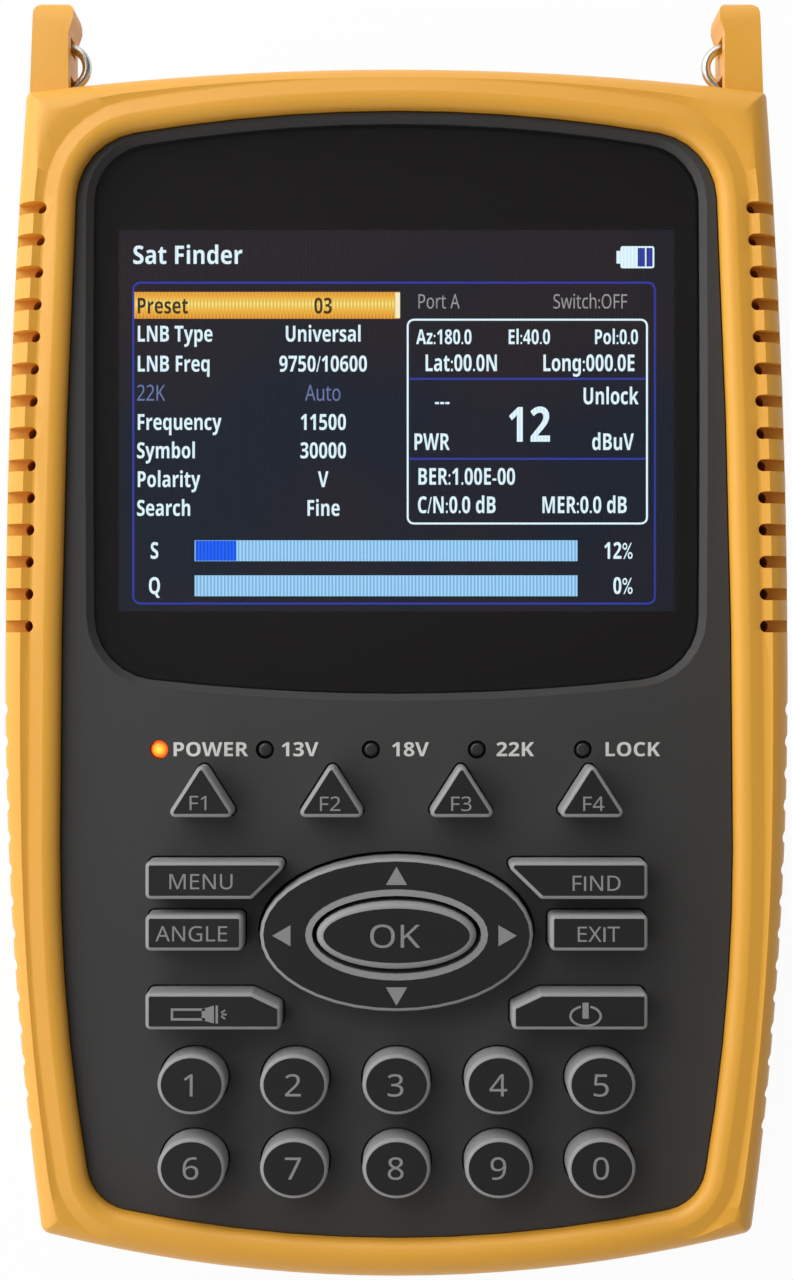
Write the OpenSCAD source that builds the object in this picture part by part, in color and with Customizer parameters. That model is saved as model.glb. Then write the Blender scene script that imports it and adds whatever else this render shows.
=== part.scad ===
// Handheld satellite signal meter, lying on its back.
// X runs across the case, +Y towards the connector end, +Z out of the face.
// The plan is laid out from the lower edge of the screen lens, which is y = 0 until the part is centred.

/* [Display] */
// Width of the lit area
lcd_w = 70.4; // [62:0.2:80]
// Height of the lit area
lcd_h = 48.4; // [42:0.2:56]
// Thickness of the display module
lcd_t = 2.5; // [1.8:0.1:3]
// Metal frame round the lit area
lcd_frame = 1.6; // [1:0.1:2]
// Thickness of the foam gasket on the display
gasket_t = 0.5; // [0.3:0.1:1]
// Lens beside the lit area
lens_side = 2.8; // [2.6:0.1:4]
// Lens above the lit area
lens_above = 12.7; // [11:0.1:16]
// Lens below the lit area
lens_below = 10.3; // [8:0.1:14]
// Thickness of the lens
lens_t = 1.5; // [1:0.1:2]
// Depth of the lens below the face
lens_step = 0.9; // [0.5:0.1:1.2]
// Width of the slope round the lens
lens_slope = 0.9; // [0.4:0.1:1]
// Thickness of the seat under the lens
seat_t = 1; // [0.8:0.1:1.5]

/* [Face] */
// Face beside the lens
face_side = 4.1; // [3.5:0.1:7]
// Face above the lens
face_above = 1.5; // [1.4:0.1:4]
// Face below the last row of keys
face_below = 6.15; // [5.5:0.05:10]
// Thickness of the face panel
face_t = 2; // [1.8:0.1:2.5]
// Flange of the face panel under the lip
flange_w = 1.5; // [1:0.1:2]
// Thickness of that flange
flange_t = 1.2; // [0.8:0.1:1.5]

/* [Case] */
// Shell beside the face, at the waist
band_side = 7.05; // [6.8:0.05:11]
// Shell above the face
band_top = 5.4; // [5:0.1:10]
// Shell below the face
band_bottom = 5; // [4.5:0.1:10]
// Depth from the back to the crest of the rim
body_d = 42; // [40:0.5:50]
// Height of the parting line
part_z = 20; // [18:0.5:22]
// Radius of the front rim
rim_r = 3.5; // [2.5:0.1:5]
// Thickness of the front shell round the face
roof_t = 8; // [7:0.5:8.5]
// Radius of the back edge
back_r = 6; // [4:0.5:8]
// Wall of both shells
wall = 2.5; // [2:0.1:3]
// Floor of the rear shell
floor_t = 3; // [2.6:0.1:4]
// Step at the parting line
seam = 0.25; // [0:0.05:0.4]
// Depth of the face below the crest
face_drop = 2; // [1.8:0.1:3]
// Depth of the inner edge of the lip below the crest
lip_drop = 1.2; // [0.8:0.1:1.4]
// Width of the rounded inner side of the lip
lip_w = 1.8; // [1:0.1:2]
// Distance of the valley round the lip from the face
valley_out = 3.5; // [3.2:0.1:4]
// Depth of that valley
valley_deep = 0.5; // [0.2:0.05:0.6]

/* [Plan curves] */
// Height of the waist above the lens edge
waist_y = 1.7; // [-6:0.1:6]
// Radius of the sides above the waist
side_r_up = 1000; // [700:1:1300]
// Radius of the sides below the waist
side_r_low = 520; // [400:1:700]
// Radius of the top end
top_r = 372; // [250:1:450]
// Radius of the bottom end
bottom_r = 180; // [140:1:220]
// Radius of the top corners
case_c_top = 1; // [0.6:0.1:3]
// Radius of the bottom corners
case_c_low = 1.5; // [1:0.1:4]
// Depth of the widest place of the face below the lens edge
face_waist = 19.3; // [12:0.1:24]
// Radius of the sides of the face above its widest place
face_r_up = 1650; // [1500:10:2500]
// Radius of the sides of the face below it
face_r_low = 240; // [220:1:400]
// Radius of the top edge of the face
face_top_r = 196; // [180:1:260]
// Radius of the bottom edge of the face
face_bottom_r = 166; // [140:1:220]
// Radius of the top corners of the face
face_c_top = 8.75; // [7:0.25:10]
// Radius of the bottom corners of the face
face_c_low = 6; // [4:0.25:9]
// Radius of the sides of the lens
lens_r = 3000; // [2500:50:5000]
// Radius of the bottom edge of the lens
lens_low_r = 270; // [200:5:400]
// Radius of the top corners of the lens
lens_c_top = 7.3; // [6:0.1:9]
// Radius of the bottom corners of the lens
lens_c_low = 8; // [5:0.1:10]

/* [Vents and grip] */
// Vents on each side
vents = 14; // [8:1:14]
// Spacing of the vents and of the grip grooves
vent_pitch = 4; // [3.5:0.1:4]
// Width of a vent
vent_w = 1.5; // [1:0.1:2]
// Reach of a vent into the case
vent_in = 4; // [3.6:0.1:5]
// Depth of a vent below the crest
vent_deep = 3; // [2:0.1:5]
// Height of the opening in the side under a vent
vent_side_h = 6; // [4:0.5:7]
// Height of the first vent above the waist
vent_start = 6.7; // [5:0.1:8]
// Grip grooves on each side
grooves = 14; // [8:1:14]
// Radius of a grip groove
groove_r = 0.9; // [0.6:0.1:1.2]
// Depth of a grip groove
groove_deep = 0.6; // [0.3:0.1:0.8]
// Depth of the first groove below the waist
groove_start = 3.7; // [3:0.1:6]

/* [Lamps and keys] */
// Diameter of a status lamp
led_d = 2.1; // [1.8:0.1:2.4]
// Spacing of the lamps
led_pitch = 13.25; // [12:0.05:13.6]
// Shift of the row of lamps to the left
led_shift = 3.2; // [2:0.1:4]
// Lens edge to the lamps
lens_to_led = 7; // [6:0.1:9]
// Lamps to the function keys
led_to_fkey = 0.75; // [0.7:0.05:3]
// Base of a function key
fkey_w = 7.7; // [6.5:0.1:9]
// Height of a function key
fkey_h = 6.3; // [5.5:0.1:8]
// Spacing of the function keys
fkey_pitch = 16; // [14:0.1:17]
// Function keys to the menu key
fkey_to_menu = 5.4; // [5:0.1:8]
// Height of the menu key
menu_h = 4.65; // [4:0.05:6]
// Length of the slanted end of the menu key
menu_slant = 4.8; // [2:0.1:5]
// Rocker edge to the lower end of the menu key
menu_gap = 0.9; // [0.7:0.1:2]
// Gap between key rows beside the rocker
row_gap = 1.9; // [1.7:0.1:3]
// Width of the angle key
angle_w = 12; // [10:0.1:13]
// Height of the angle key
angle_h = 4.45; // [4:0.05:5.5]
// Rocker edge to the angle key
angle_gap = 2; // [1.8:0.1:3]
// Height of the torch key
torch_h = 4.6; // [4:0.1:6]
// Inner end of the torch key inside the edge of the rocker
torch_in = 2.7; // [1:0.1:3]
// Rise of the torch key above the bottom of the rocker
torch_rise = 2.5; // [1:0.1:2.6]
// Width of the cut corner of the torch key
torch_cut_w = 3.6; // [2:0.1:5]
// Height of the cut corner of the torch key
torch_cut_h = 1.7; // [1:0.1:2.5]
// Torch key to the number keys
torch_to_digit = 2.95; // [2.5:0.05:5]
// Width of a number key
digit_w = 8.4; // [7:0.1:9]
// Height of a number key
digit_h = 7.5; // [6.5:0.1:9]
// Gap between number keys across
digit_gap_x = 4.2; // [3:0.1:5]
// Gap between number keys down
digit_gap_y = 2.8; // [2.2:0.1:5]

/* [Rocker] */
// Width of the rocker ring
rocker_w = 33.75; // [31:0.25:37]
// Height of the rocker ring
rocker_h = 19; // [18:0.25:22]
// Rise of the rocker above the menu key
rocker_above = 0.4; // [0:0.1:1]
// Width of the OK key
ok_w = 19.7; // [17:0.1:20]
// Height of the OK key
ok_h = 8.4; // [7:0.1:9]
// Gap between the OK key and the ring
ok_gap = 0.6; // [0.5:0.05:0.8]
// Gap between the ring and the face
rocker_gap = 0.45; // [0.4:0.05:0.6]
// Height of the rocker ring above the face
rocker_rise = 3.5; // [2.5:0.1:4]
// Radius of the rocker pivots
pivot_r = 0.6; // [0.5:0.05:0.7]

/* [Key section] */
// Height of the keys above the face
key_rise = 4.2; // [3:0.1:5]
// Travel of a key
key_travel = 0.9; // [0.6:0.1:1]
// Gap between a key and its hole
key_gap = 0.25; // [0.15:0.05:0.35]
// Flange of a key under the face
key_flange = 0.6; // [0.4:0.1:0.7]
// Thickness of that flange
key_flange_t = 1; // [0.8:0.1:1.2]
// Rounded edge of a key top
key_edge = 0.5; // [0.3:0.05:0.6]
// Rounded edge of the OK key
ok_edge = 0.8; // [0.5:0.05:1]
// Corner radius of the keys with corners
key_corner = 0.65; // [0.5:0.05:1.2]
// Radius of a plunger
plunger_r = 1.5; // [1.2:0.1:1.7]
// Thickness of the keypad mat
mat_t = 0.6; // [0.4:0.05:0.7]
// Thickness of the contact pads
pad_t = 0.1; // [0.05:0.05:0.15]

/* [Inside] */
// Thickness of the main board
board_t = 1.6; // [1.2:0.2:2]
// Width of the main board
board_w = 75; // [72:0.5:75]
// Diameter of a battery cell
cell_d = 18.4; // [17:0.1:18.6]
// Length of a battery cell
cell_l = 65; // [55:0.5:66]
// Thickness of the battery door
door_t = 1.6; // [1.2:0.1:1.8]
// Ledge that carries the battery door
door_ledge = 3; // [2:0.1:4]
// Width of the tuner can
can_w = 21; // [18:0.5:21.5]
// Length of the tuner can
can_l = 22; // [18:0.5:24]
// Depth of the tuner can
can_d = 15; // [14.5:0.5:17]
// Diameter of the buzzer
buzzer_d = 12; // [9:0.5:13]
// Height of the buzzer
buzzer_h = 5; // [3:0.5:7]

/* [Connector end] */
// Width of the well between the ears
well_w = 72; // [68:0.5:74]
// Depth of the well, from the middle of the top end
well_deep = 10.2; // [9:0.1:11]
// Height of the well
well_h = 20; // [19.5:0.5:21.5]
// Depth of the well below the crest
well_drop = 9.5; // [9.4:0.1:10.5]
// Thickness of the connector panel
plate_t = 2; // [1.5:0.1:2.5]
// Depth of the connectors below the main board
jack_drop = 9; // [8:0.5:10]
// Diameter of the thread of the coaxial connector
coax_d = 9.525; // [9:0.005:10]
// Reach of the coaxial connector out of its panel
coax_l = 11.8; // [10:0.1:12]
// Bore of the audio and video jack
av_bore = 3.6; // [3:0.1:4]
// Bore of the power jack
dc_bore = 5.6; // [5:0.1:6.4]
// Diameter of the torch lens
torch_d = 9; // [7:0.5:10]

/* [Strap ears] */
// Rise of the ears above the top end
ear_h = 8.9; // [8.5:0.1:12]
// Width of an ear
ear_w = 5; // [4.8:0.1:6.4]
// Lean of the outer side of an ear
ear_lean = 0.6; // [0:0.1:1]
// Thickness of an ear, front to back
ear_t = 7; // [6:0.5:9]
// Depth of the front of an ear below the crest
ear_drop = 3; // [2.5:0.1:4]
// Radius of the top of an ear, front and back
ear_dome = 2.5; // [1.5:0.1:2.8]
// Step of the inner side of an ear under its head
ear_step = 0.6; // [0.3:0.1:0.8]
// Radius of the wire of a strap ring
wire_r = 0.6; // [0.5:0.05:0.7]
// Radius of the bend of a strap ring
bend_r = 2.5; // [2.3:0.05:2.9]
// Bend of a strap ring below the top of its ear
bend_drop = 7.6; // [7:0.1:8.4]
// Depth of the ring bar inside the ear
bar_in = 1.3; // [1.2:0.05:1.4]

/* [Fasteners] */
// Diameter of the thread of a case screw
screw_d = 2.5; // [2:0.1:3]
// Diameter of the head of a case screw
screw_head = 5; // [4.4:0.1:5.2]
// Diameter of a case screw post
post_d = 5.6; // [5:0.1:6]
// Depth of a case screw head below the back
screw_deep = 6; // [5:0.1:8]
// Diameter of the thread of a board screw
board_screw_d = 1.8; // [1.6:0.1:2]

/* [Hidden] */
$fn = 64;
groove_fn = 24;
rim_step = 15;
oval_n = 40;
bore_gap = 0.05;
part_gap = 0.2;
over = 1;
wide = 400;
c_min = 0.3;

// Heights
z_face = body_d - face_drop;
z_under = z_face - face_t;
z_lip_edge = body_d - lip_drop;
z_lip = z_under + flange_t;
z_ceiling = body_d - roof_t;
z_lens = z_face - lens_step;
z_seat = z_lens - lens_t;
z_tub = z_seat - seat_t;
z_lcd = z_tub - gasket_t;
z_board = z_lcd - lcd_t;
z_back = z_board - board_t;
z_mat = z_board + mat_t;
z_pad = z_board + pad_t;
z_flange_top = z_under - bore_gap;
z_flange_low = z_flange_top - key_flange_t;
press_gap = 0.1;
z_plunger = z_pad + key_travel + press_gap;
z_key = z_face + key_rise;
z_rocker = z_face + rocker_rise;

// Screen lens and face, from the lens edge up and down
lens_hw = lcd_w / 2 + lens_side;
lcd_y0 = lens_below;
lcd_y1 = lcd_y0 + lcd_h;
lens_top = lcd_y1 + lens_above;
open_top = lens_top + face_above;
body_top = open_top + band_top;

// Rows of lamps and keys
led_y = -lens_to_led;
fkey_top = led_y - led_d / 2 - led_to_fkey;
fkey_low = fkey_top - fkey_h;
menu_top = fkey_low - fkey_to_menu;
menu_low = menu_top - menu_h;
angle_top = menu_low - row_gap;
angle_low = angle_top - angle_h;
rocker_y = menu_top + rocker_above - rocker_h / 2;
torch_top = min(angle_low - row_gap, rocker_y - rocker_h / 2 + torch_rise);
torch_low = torch_top - torch_h;
rocker_low = rocker_y - rocker_h / 2;
digit_top = min(torch_low, rocker_low) - torch_to_digit;
digit_y = [for (row = [0, 1]) digit_top - digit_h / 2 - row * (digit_h + digit_gap_y)];
digit_x = digit_w + digit_gap_x;
open_low = digit_y[1] - digit_h / 2 - face_below;
body_low = open_low - band_bottom;

// Columns of keys
key_out = rocker_w / 2 + angle_gap + angle_w;
menu_x = rocker_w / 2 + menu_gap;
angle_x = rocker_w / 2 + angle_gap;
torch_x = rocker_w / 2 - torch_in;
key_margin = 8;
open_hw = max(lens_hw + face_side, max(key_out, 2 * digit_x + digit_w / 2) + key_margin);
body_hw = open_hw + band_side;

// Ears, and the middle of the whole part
ear_top = body_top + ear_h;
y_mid = (ear_top + body_low) / 2;

// Plan outlines: half width, its height, side radii up and down, top, radius, bottom, radius, corners
body_plan = [body_hw, waist_y, side_r_up, side_r_low, body_top, top_r, body_low, bottom_r,
             case_c_top, case_c_low];
face_plan = [open_hw, -face_waist, face_r_up, face_r_low, open_top, face_top_r, open_low, face_bottom_r,
             face_c_top, face_c_low];
lens_plan = [lens_hw, lens_top / 2, lens_r, lens_r, lens_top, face_top_r - face_above, 0, lens_low_r,
             lens_c_top, lens_c_low];

// Fall of an arc of radius r from its tangent, at a distance d
function sag(r, d) = r - sqrt(r * r - d * d);
function polar(c, r, a) = c + r * [cos(a), sin(a)];
function bearing(p) = atan2(p[1], p[0]);
function arc(c, r, a0, a1, n) = [for (i = [0:n]) polar(c, r, a0 + (a1 - a0) * i / n)];
function tail(v) = [for (i = [1:len(v) - 1]) v[i]];

// Where two circles cross, on one side of the line between their centres
function cross_point(c1, r1, c2, r2, side) =
    let (d = norm(c2 - c1), u = (c2 - c1) / d, a = (r1 * r1 - r2 * r2 + d * d) / (2 * d))
    c1 + a * u + side * sqrt(r1 * r1 - a * a) * [-u[1], u[0]];

// Right half of a plan outline, from its bottom to its top, moved in by d, with fine times the points
function half_outline(f, d, fine) =
    let (c_top = max(f[8] - d, c_min),
         c_low = max(f[9] - d, c_min),
         up = [f[0] - f[2], f[1]],
         low = [f[0] - f[3], f[1]],
         top = [0, f[4] - f[5]],
         bottom = [0, f[6] + f[7]],
         k_top = cross_point(up, f[2] - d - c_top, top, f[5] - d - c_top, 1),
         k_low = cross_point(low, f[3] - d - c_low, bottom, f[7] - d - c_low, -1))
    concat(arc(bottom, f[7] - d, -90, bearing(k_low - bottom), 5 * fine),
           tail(arc(k_low, c_low, bearing(k_low - bottom), bearing(k_low - low), 6)),
           tail(arc(low, f[3] - d, bearing(k_low - low), 0, 5 * fine)),
           tail(arc(up, f[2] - d, 0, bearing(k_top - up), 3 * fine)),
           tail(arc(k_top, c_top, bearing(k_top - up), bearing(k_top - top), 6)),
           tail(arc(top, f[5] - d, bearing(k_top - top), 90, 5 * fine)));

function outline(f, d = 0, fine = 1) =
    let (h = half_outline(f, d, fine))
    concat(h, [for (i = [len(h) - 2:-1:1]) [-h[i][0], h[i][1]]]);

// Directions that a convex outline faces before and after its corner i
function facing(v, i) =
    let (n = len(v), a = bearing(v[i] - v[(i + n - 1) % n]) - 90, b = bearing(v[(i + 1) % n] - v[i]) - 90)
    [a, b < a ? b + 360 : b];
// Centres of the corner arcs of radius r of a convex outline
function centres(v, r) =
    [for (i = [0:len(v) - 1]) let (f = facing(v, i))
        polar(v[i], -r / cos((f[1] - f[0]) / 2), (f[0] + f[1]) / 2)];
// Outline at a distance r round those centres
function around(c, r) = [for (i = [0:len(c) - 1]) let (f = facing(c, i)) each arc(c[i], r, f[0], f[1], 4)];

function oval_points(w, h) =
    [for (i = [0:oval_n - 1]) let (a = 360 * i / oval_n) [w / 2 * cos(a), h / 2 * sin(a)]];

// Half width of the case at a height on the plan
function half_width(y) = body_hw - sag(y > waist_y ? side_r_up : side_r_low, y - waist_y);

// Quarter round from the side of a key to its top, as offsets and heights
function edge_steps(edge, z) = [for (a = [0:30:90]) [-edge * (1 - cos(a)), z - edge * (1 - sin(a))]];

// Solid through rings of as many points each, given with their heights
module loft(rings) {
    n = len(rings[0][0]);
    m = len(rings);
    sides = [for (j = [0:m - 2]) for (i = [0:n - 1])
        [j * n + i, (j + 1) * n + i, (j + 1) * n + (i + 1) % n, j * n + (i + 1) % n]];
    polyhedron([for (r = rings) for (p = r[0]) [p[0], p[1], r[1]]],
               concat([[for (i = [0:n - 1]) i]], sides, [[for (i = [n - 1:-1:0]) (m - 1) * n + i]]));
}

module plate(points, z0, z1) {
    translate([0, 0, z0]) linear_extrude(z1 - z0) polygon(points);
}

module oval(w, h, z0, z1) {
    plate(oval_points(w, h), z0, z1);
}

// Oval solid with a rounded upper edge
module oval_cap(w, h, z0, z1, edge) {
    loft(concat([[oval_points(w, h), z0]],
                [for (s = edge_steps(edge, z1)) [oval_points(w + 2 * s[0], h + 2 * s[0]), s[1]]]));
}

// Convex outline with its corners rounded
module rounded(points, r) {
    polygon(around(centres(points, r), r));
}

// Box between two corners
module block(a, b) {
    translate(a) cube(b - a);
}

// Pair of things, one on each side of the middle
module pair() {
    children();
    mirror([1, 0, 0]) children();
}

// Round bar along +Y
module bar_y(r, y0, y1) {
    translate([0, y0, 0]) rotate([-90, 0, 0]) cylinder(r = r, h = y1 - y0);
}

// Plan of the case as a solid of height h, moved in by inset, with a rounded upper edge
module case_solid(inset, h, rim) {
    loft(concat([[outline(body_plan, inset, 2), 0]],
                [for (a = [0:rim_step:90])
                    [outline(body_plan, inset + rim * (1 - cos(a)), 2), h - rim * (1 - sin(a))]]));
}

module case_space(h) {
    plate(outline(body_plan, wall, 2), 0, h);
}

// Case screw posts: one pair above the vents, one at the waist and one near the bottom
post_top_drop = 14;
post_low_rise = 14;
post_sink = 0.8;
post_ys = [body_top - post_top_drop, waist_y, body_low + post_low_rise];
function post_x(y) = half_width(y) - wall - post_d / 2 + post_sink;
pilot_short = 3;
z_pilot = z_back - pilot_short;

module at_posts() {
    for (y = post_ys) pair() translate([post_x(y), y, 0]) children();
}

// Well at the connector end
well_wall = 2;
well_y = body_top - well_deep;
well_z1 = body_d - well_drop;
well_z0 = well_z1 - well_h;
jack_z = z_back - jack_drop;

module well_block() {
    block([-well_w / 2 - well_wall, well_y, well_z0 - well_wall],
          [well_w / 2 + well_wall, body_top + over, well_z1 + well_wall]);
}

module well_space() {
    block([-well_w / 2, well_y - over, well_z0], [well_w / 2, body_top + over, well_z1]);
}

// Strap ears, and the bars of the rings in them
ear_foot = 6;
ear_y0 = body_top - ear_foot;
ear_out = half_width(body_top);
ear_head = ear_out - ear_lean - ear_w;
ear_neck = ear_head + ear_step;
ear_z1 = body_d - ear_drop;
ear_z0 = ear_z1 - ear_t;
ear_round = 1.5;
bar_x = ear_neck + bar_in;
bar_z = (ear_z0 + ear_z1) / 2;
bar_grow = 0.05;
bar_r = wire_r + bar_grow;
bend_y = ear_top - bend_drop;
bend_x = 0.6;
leg_turn = 45;
leg_l = (bend_x + bend_r * cos(leg_turn)) / sin(leg_turn);
leg_y = -bend_r * sin(leg_turn) - leg_l * cos(leg_turn);
notch_gap = 0.3;
ring_swing = 30;

// Plan of an ear, less where its inner side steps back under the head
module ear_plan() {
    step_y = bend_y + bend_r + bar_r + notch_gap;
    x2 = ear_out - ear_lean;
    difference() {
        rounded([[ear_head, ear_y0 - ear_round], [ear_out, ear_y0 - ear_round], [x2, ear_top],
                 [ear_head, ear_top]], ear_round);
        polygon([[ear_head - over, ear_y0 - 2 * over], [ear_neck, ear_y0 - 2 * over], [ear_neck, step_y],
                 [ear_head, step_y + 3 * ear_step], [ear_head - over, step_y + 3 * ear_step]]);
    }
}

module ear() {
    intersection() {
        translate([0, 0, ear_z0 - over]) linear_extrude(ear_t + 2 * over) ear_plan();
        rotate([90, 0, 90]) linear_extrude(body_hw)
            rounded([[ear_y0 - ear_dome, ear_z0], [ear_top, ear_z0], [ear_top, ear_z1],
                     [ear_y0 - ear_dome, ear_z1]], ear_dome);
    }
}

// Bore and notches for a strap ring, wide enough for its swing
module ear_cuts() {
    leg_reach = bar_in / cos(ring_swing) / tan(leg_turn);
    inner_r = bend_r - wire_r;
    bend_reach = inner_r * sin(acos((bar_in / cos(ring_swing) - bend_x) / inner_r));
    module notch(y0, y1) {
        reach = bar_in * tan(ring_swing) + wire_r / cos(ring_swing) + notch_gap;
        block([ear_head - over, bend_y + y0, bar_z - reach],
              [bar_x + bar_r + notch_gap, bend_y + y1, bar_z + reach]);
    }
    translate([bar_x, bend_y, bar_z]) bar_y(bar_r + bore_gap, leg_y, bend_r);
    notch(leg_y - bar_r - notch_gap, leg_y + leg_reach + wire_r / sin(leg_turn) + notch_gap);
    notch(bend_reach - notch_gap, bend_r + bar_r + notch_gap);
}

// Vents and grip grooves of the left and right sides: a vent is a groove across the rim
// with a hole into the case at its inner end, and an opening in the side below it
module side_vents() {
    z_vent = body_d - vent_deep;
    z_side = z_ceiling - part_gap;
    for (i = [0:vents - 1]) {
        y = waist_y + vent_start + i * vent_pitch;
        x = half_width(y) - vent_in + vent_w / 2;
        pair() {
            translate([x, y, z_ceiling - over]) cylinder(d = vent_w, h = roof_t + 2 * over, $fn = groove_fn);
            block([x, y - vent_w / 2, z_vent], [body_hw + over, y + vent_w / 2, body_d + over]);
            block([half_width(y) - 2 * wall, y - vent_w / 2, z_side - vent_side_h],
                  [body_hw + over, y + vent_w / 2, z_side]);
        }
    }
}

module grip_grooves() {
    for (i = [0:grooves - 1]) {
        y = waist_y - groove_start - i * vent_pitch;
        x = half_width(y) + groove_r - groove_deep;
        pair() translate([x, y, -over]) cylinder(r = groove_r, h = body_d + 2 * over, $fn = groove_fn);
    }
}

// Space inside the rounded lip round the face
module lip_space() {
    loft(concat([for (a = [0:rim_step:90])
                    [outline(face_plan, -lip_w * (1 - cos(a))), z_lip_edge + lip_drop * sin(a)]],
                [[outline(face_plan, -lip_w), body_d + over]]));
}

// Valley that sets the lip off from the rest of the shell: its sides slope at one in three
module lip_valley() {
    slope = 3;
    z_low = body_d - valley_deep;
    z_high = body_d + part_gap;
    z_deep = z_low - part_gap;
    inner = [for (z = [z_deep, z_high + part_gap]) [outline(face_plan, slope * (z - z_low) - valley_out), z]];
    outer = [for (z = [z_low, z_high]) [outline(face_plan, slope * (z_low - z) - valley_out - c_min), z]];
    difference() {
        loft(outer);
        loft(inner);
    }
}

module front_shell() color("goldenrod") difference() {
    union() {
        translate([0, 0, part_z]) case_solid(0, body_d - part_z, rim_r);
        pair() ear();
    }
    difference() {
        translate([0, 0, part_z - over]) case_space(z_ceiling - part_z + over);
        at_posts() translate([0, 0, part_z]) cylinder(d = post_d, h = body_d);
        well_block();
    }
    plate(outline(face_plan, -flange_w - part_gap), z_ceiling - over, z_lip);
    plate(outline(face_plan), z_lip - over, z_lip_edge + part_gap);
    lip_space();
    lip_valley();
    well_space();
    side_vents();
    grip_grooves();
    at_posts() translate([0, 0, part_z - over])
        cylinder(d = screw_d + 2 * bore_gap, h = z_pilot - part_z + over);
    pair() ear_cuts();
}

// Battery bay in the rear shell
cell_gap = 0.4;
bay_wall = 1.6;
bay_rise = 14;
contact_t = 1;
bay_hw = cell_d + 1.5 * cell_gap;
bay_y0 = body_low + bay_rise;
bay_y1 = bay_y0 + cell_l + 2 * (contact_t + cell_gap);
bay_z1 = door_t + cell_d + 2 * cell_gap;
door_hw = bay_hw + door_ledge;
door_y0 = bay_y0 - 2 * door_ledge;
door_y1 = bay_y1 + door_ledge;
door_screw_in = 3;
door_screw_x = bay_hw - door_screw_in;
door_screw_y = bay_y0 - door_ledge;
door_screw_l = 7;
door_post_d = 5;
door_gap = 0.2;

module bay_block() {
    block([-bay_hw - bay_wall, bay_y0 - bay_wall, 0],
          [bay_hw + bay_wall, bay_y1 + bay_wall, bay_z1 + bay_wall]);
}

module at_door_screws() {
    pair() translate([door_screw_x, door_screw_y, 0]) children();
}

module rear_shell() color("goldenrod") difference() {
    union() {
        difference() {
            translate([0, 0, part_z]) mirror([0, 0, 1]) case_solid(seam, part_z, back_r);
            difference() {
                translate([0, 0, floor_t]) case_space(part_z);
                at_posts() cylinder(d = screw_head + 2 * part_gap + wall, h = part_z);
                well_block();
                bay_block();
                at_door_screws() cylinder(d = door_post_d, h = door_t + door_screw_l + over);
            }
        }
        intersection() {
            bay_block();
            block([-wide, -wide, part_z - over], [wide, wide, wide]);
        }
    }
    block([-bay_hw, bay_y0, -over], [bay_hw, bay_y1, bay_z1]);
    block([-door_hw - door_gap, door_y0 - door_gap, -over],
          [door_hw + door_gap, door_y1 + door_gap, door_t]);
    well_space();
    grip_grooves();
    at_posts() {
        translate([0, 0, -over]) cylinder(d = screw_head + 2 * part_gap, h = screw_deep + over);
        cylinder(d = screw_d + 2 * part_gap, h = part_z + over);
    }
    at_door_screws() cylinder(d = board_screw_d + 2 * bore_gap, h = door_t + door_screw_l);
}

// Places of the connectors on their panel
plate_y1 = well_y;
plate_y0 = plate_y1 - plate_t;
plate_in = 0.5;
jack_body = 4.5;
jack_space = 0.5;
coax_x = 0;
av_x = can_w / 2 + jack_body + jack_space;
dc_x = av_x + 2 * jack_body + 2 * jack_space;
torch_end_x = -22;
coax_r = coax_d / 2;
coax_relief = coax_r - part_gap;
jack_r = 3.6;
dc_r = 4.4;
torch_rim = 1.6;

// Posts under the face panel for the board screws, clear of the jacks
stud_d = 4;
stud_in = 6;
stud_spread = 2;
stud_edge = 1.9;
stud_low_rise = 8;
stud_deep = 2.4;
board_head_d = board_screw_d + 1.8;
board_head_t = 1.2;
board_y1 = plate_y0 - 2 * part_gap;
stud_x = max(lens_hw - stud_in, dc_x + jack_body + board_head_d / 2 + part_gap);
stud_xy = [[stud_x, board_y1 - stud_edge], [lens_hw - stud_in + stud_spread, open_low + stud_low_rise]];

module at_studs() {
    for (p = stud_xy) pair() translate([p[0], p[1], 0]) children();
}

// Centres of the corners of the function keys and of the keys on the left side of the face
fkey_base = fkey_w / 2 - key_corner;
fkey_shape = [[-fkey_base, fkey_low + key_corner], [fkey_base, fkey_low + key_corner],
              [0, fkey_top - key_corner]];
menu_corners = [[-key_out, menu_low], [-menu_x, menu_low], [-menu_x + menu_slant, menu_top],
                [-key_out, menu_top]];
angle_corners = [[-key_out, angle_low], [-angle_x, angle_low], [-angle_x, angle_top], [-key_out, angle_top]];
torch_corners = [[-key_out, torch_low], [-torch_x, torch_low], [-torch_x, torch_top - torch_cut_h],
                 [-torch_x - torch_cut_w, torch_top], [-key_out, torch_top]];
side_shapes = [for (v = [menu_corners, angle_corners, torch_corners]) centres(v, key_corner)];
fkey_xs = [for (i = [-1.5:1:1.5]) i * fkey_pitch];
led_xs = [for (i = [-2:2]) i * led_pitch - led_shift];

// Place of a number key: columns and rows run from 0
function digit_at(column, row) = [(column - 2) * digit_x, digit_y[row]];

function middle(v) = let (n = len(v)) [for (k = [0, 1]) [for (p = v) p[k] / n] * [for (p = v) 1]];

// Rocker pivots: the carrier turns on the face, the ring turns on the carrier
tilt_gap = 0.7;
carrier_t = 0.8;
ring_pin_rise = 0.8;
z_carrier = z_mat + tilt_gap;
z_carrier_pin = z_carrier + carrier_t / 2;
z_ring_low = z_carrier + carrier_t + tilt_gap;
z_ring_pin = z_ring_low + ring_pin_rise;
lug_t = 1.5;
lug_w = 2.4;
lug_wall = 0.8;
ring_pin_x = (rocker_w / 2 + ok_w / 2 + ok_gap) / 2;
hole_h = rocker_h + 2 * rocker_gap;
carrier_pin_y = hole_h / 2 + part_gap + lug_t / 2;

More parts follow.
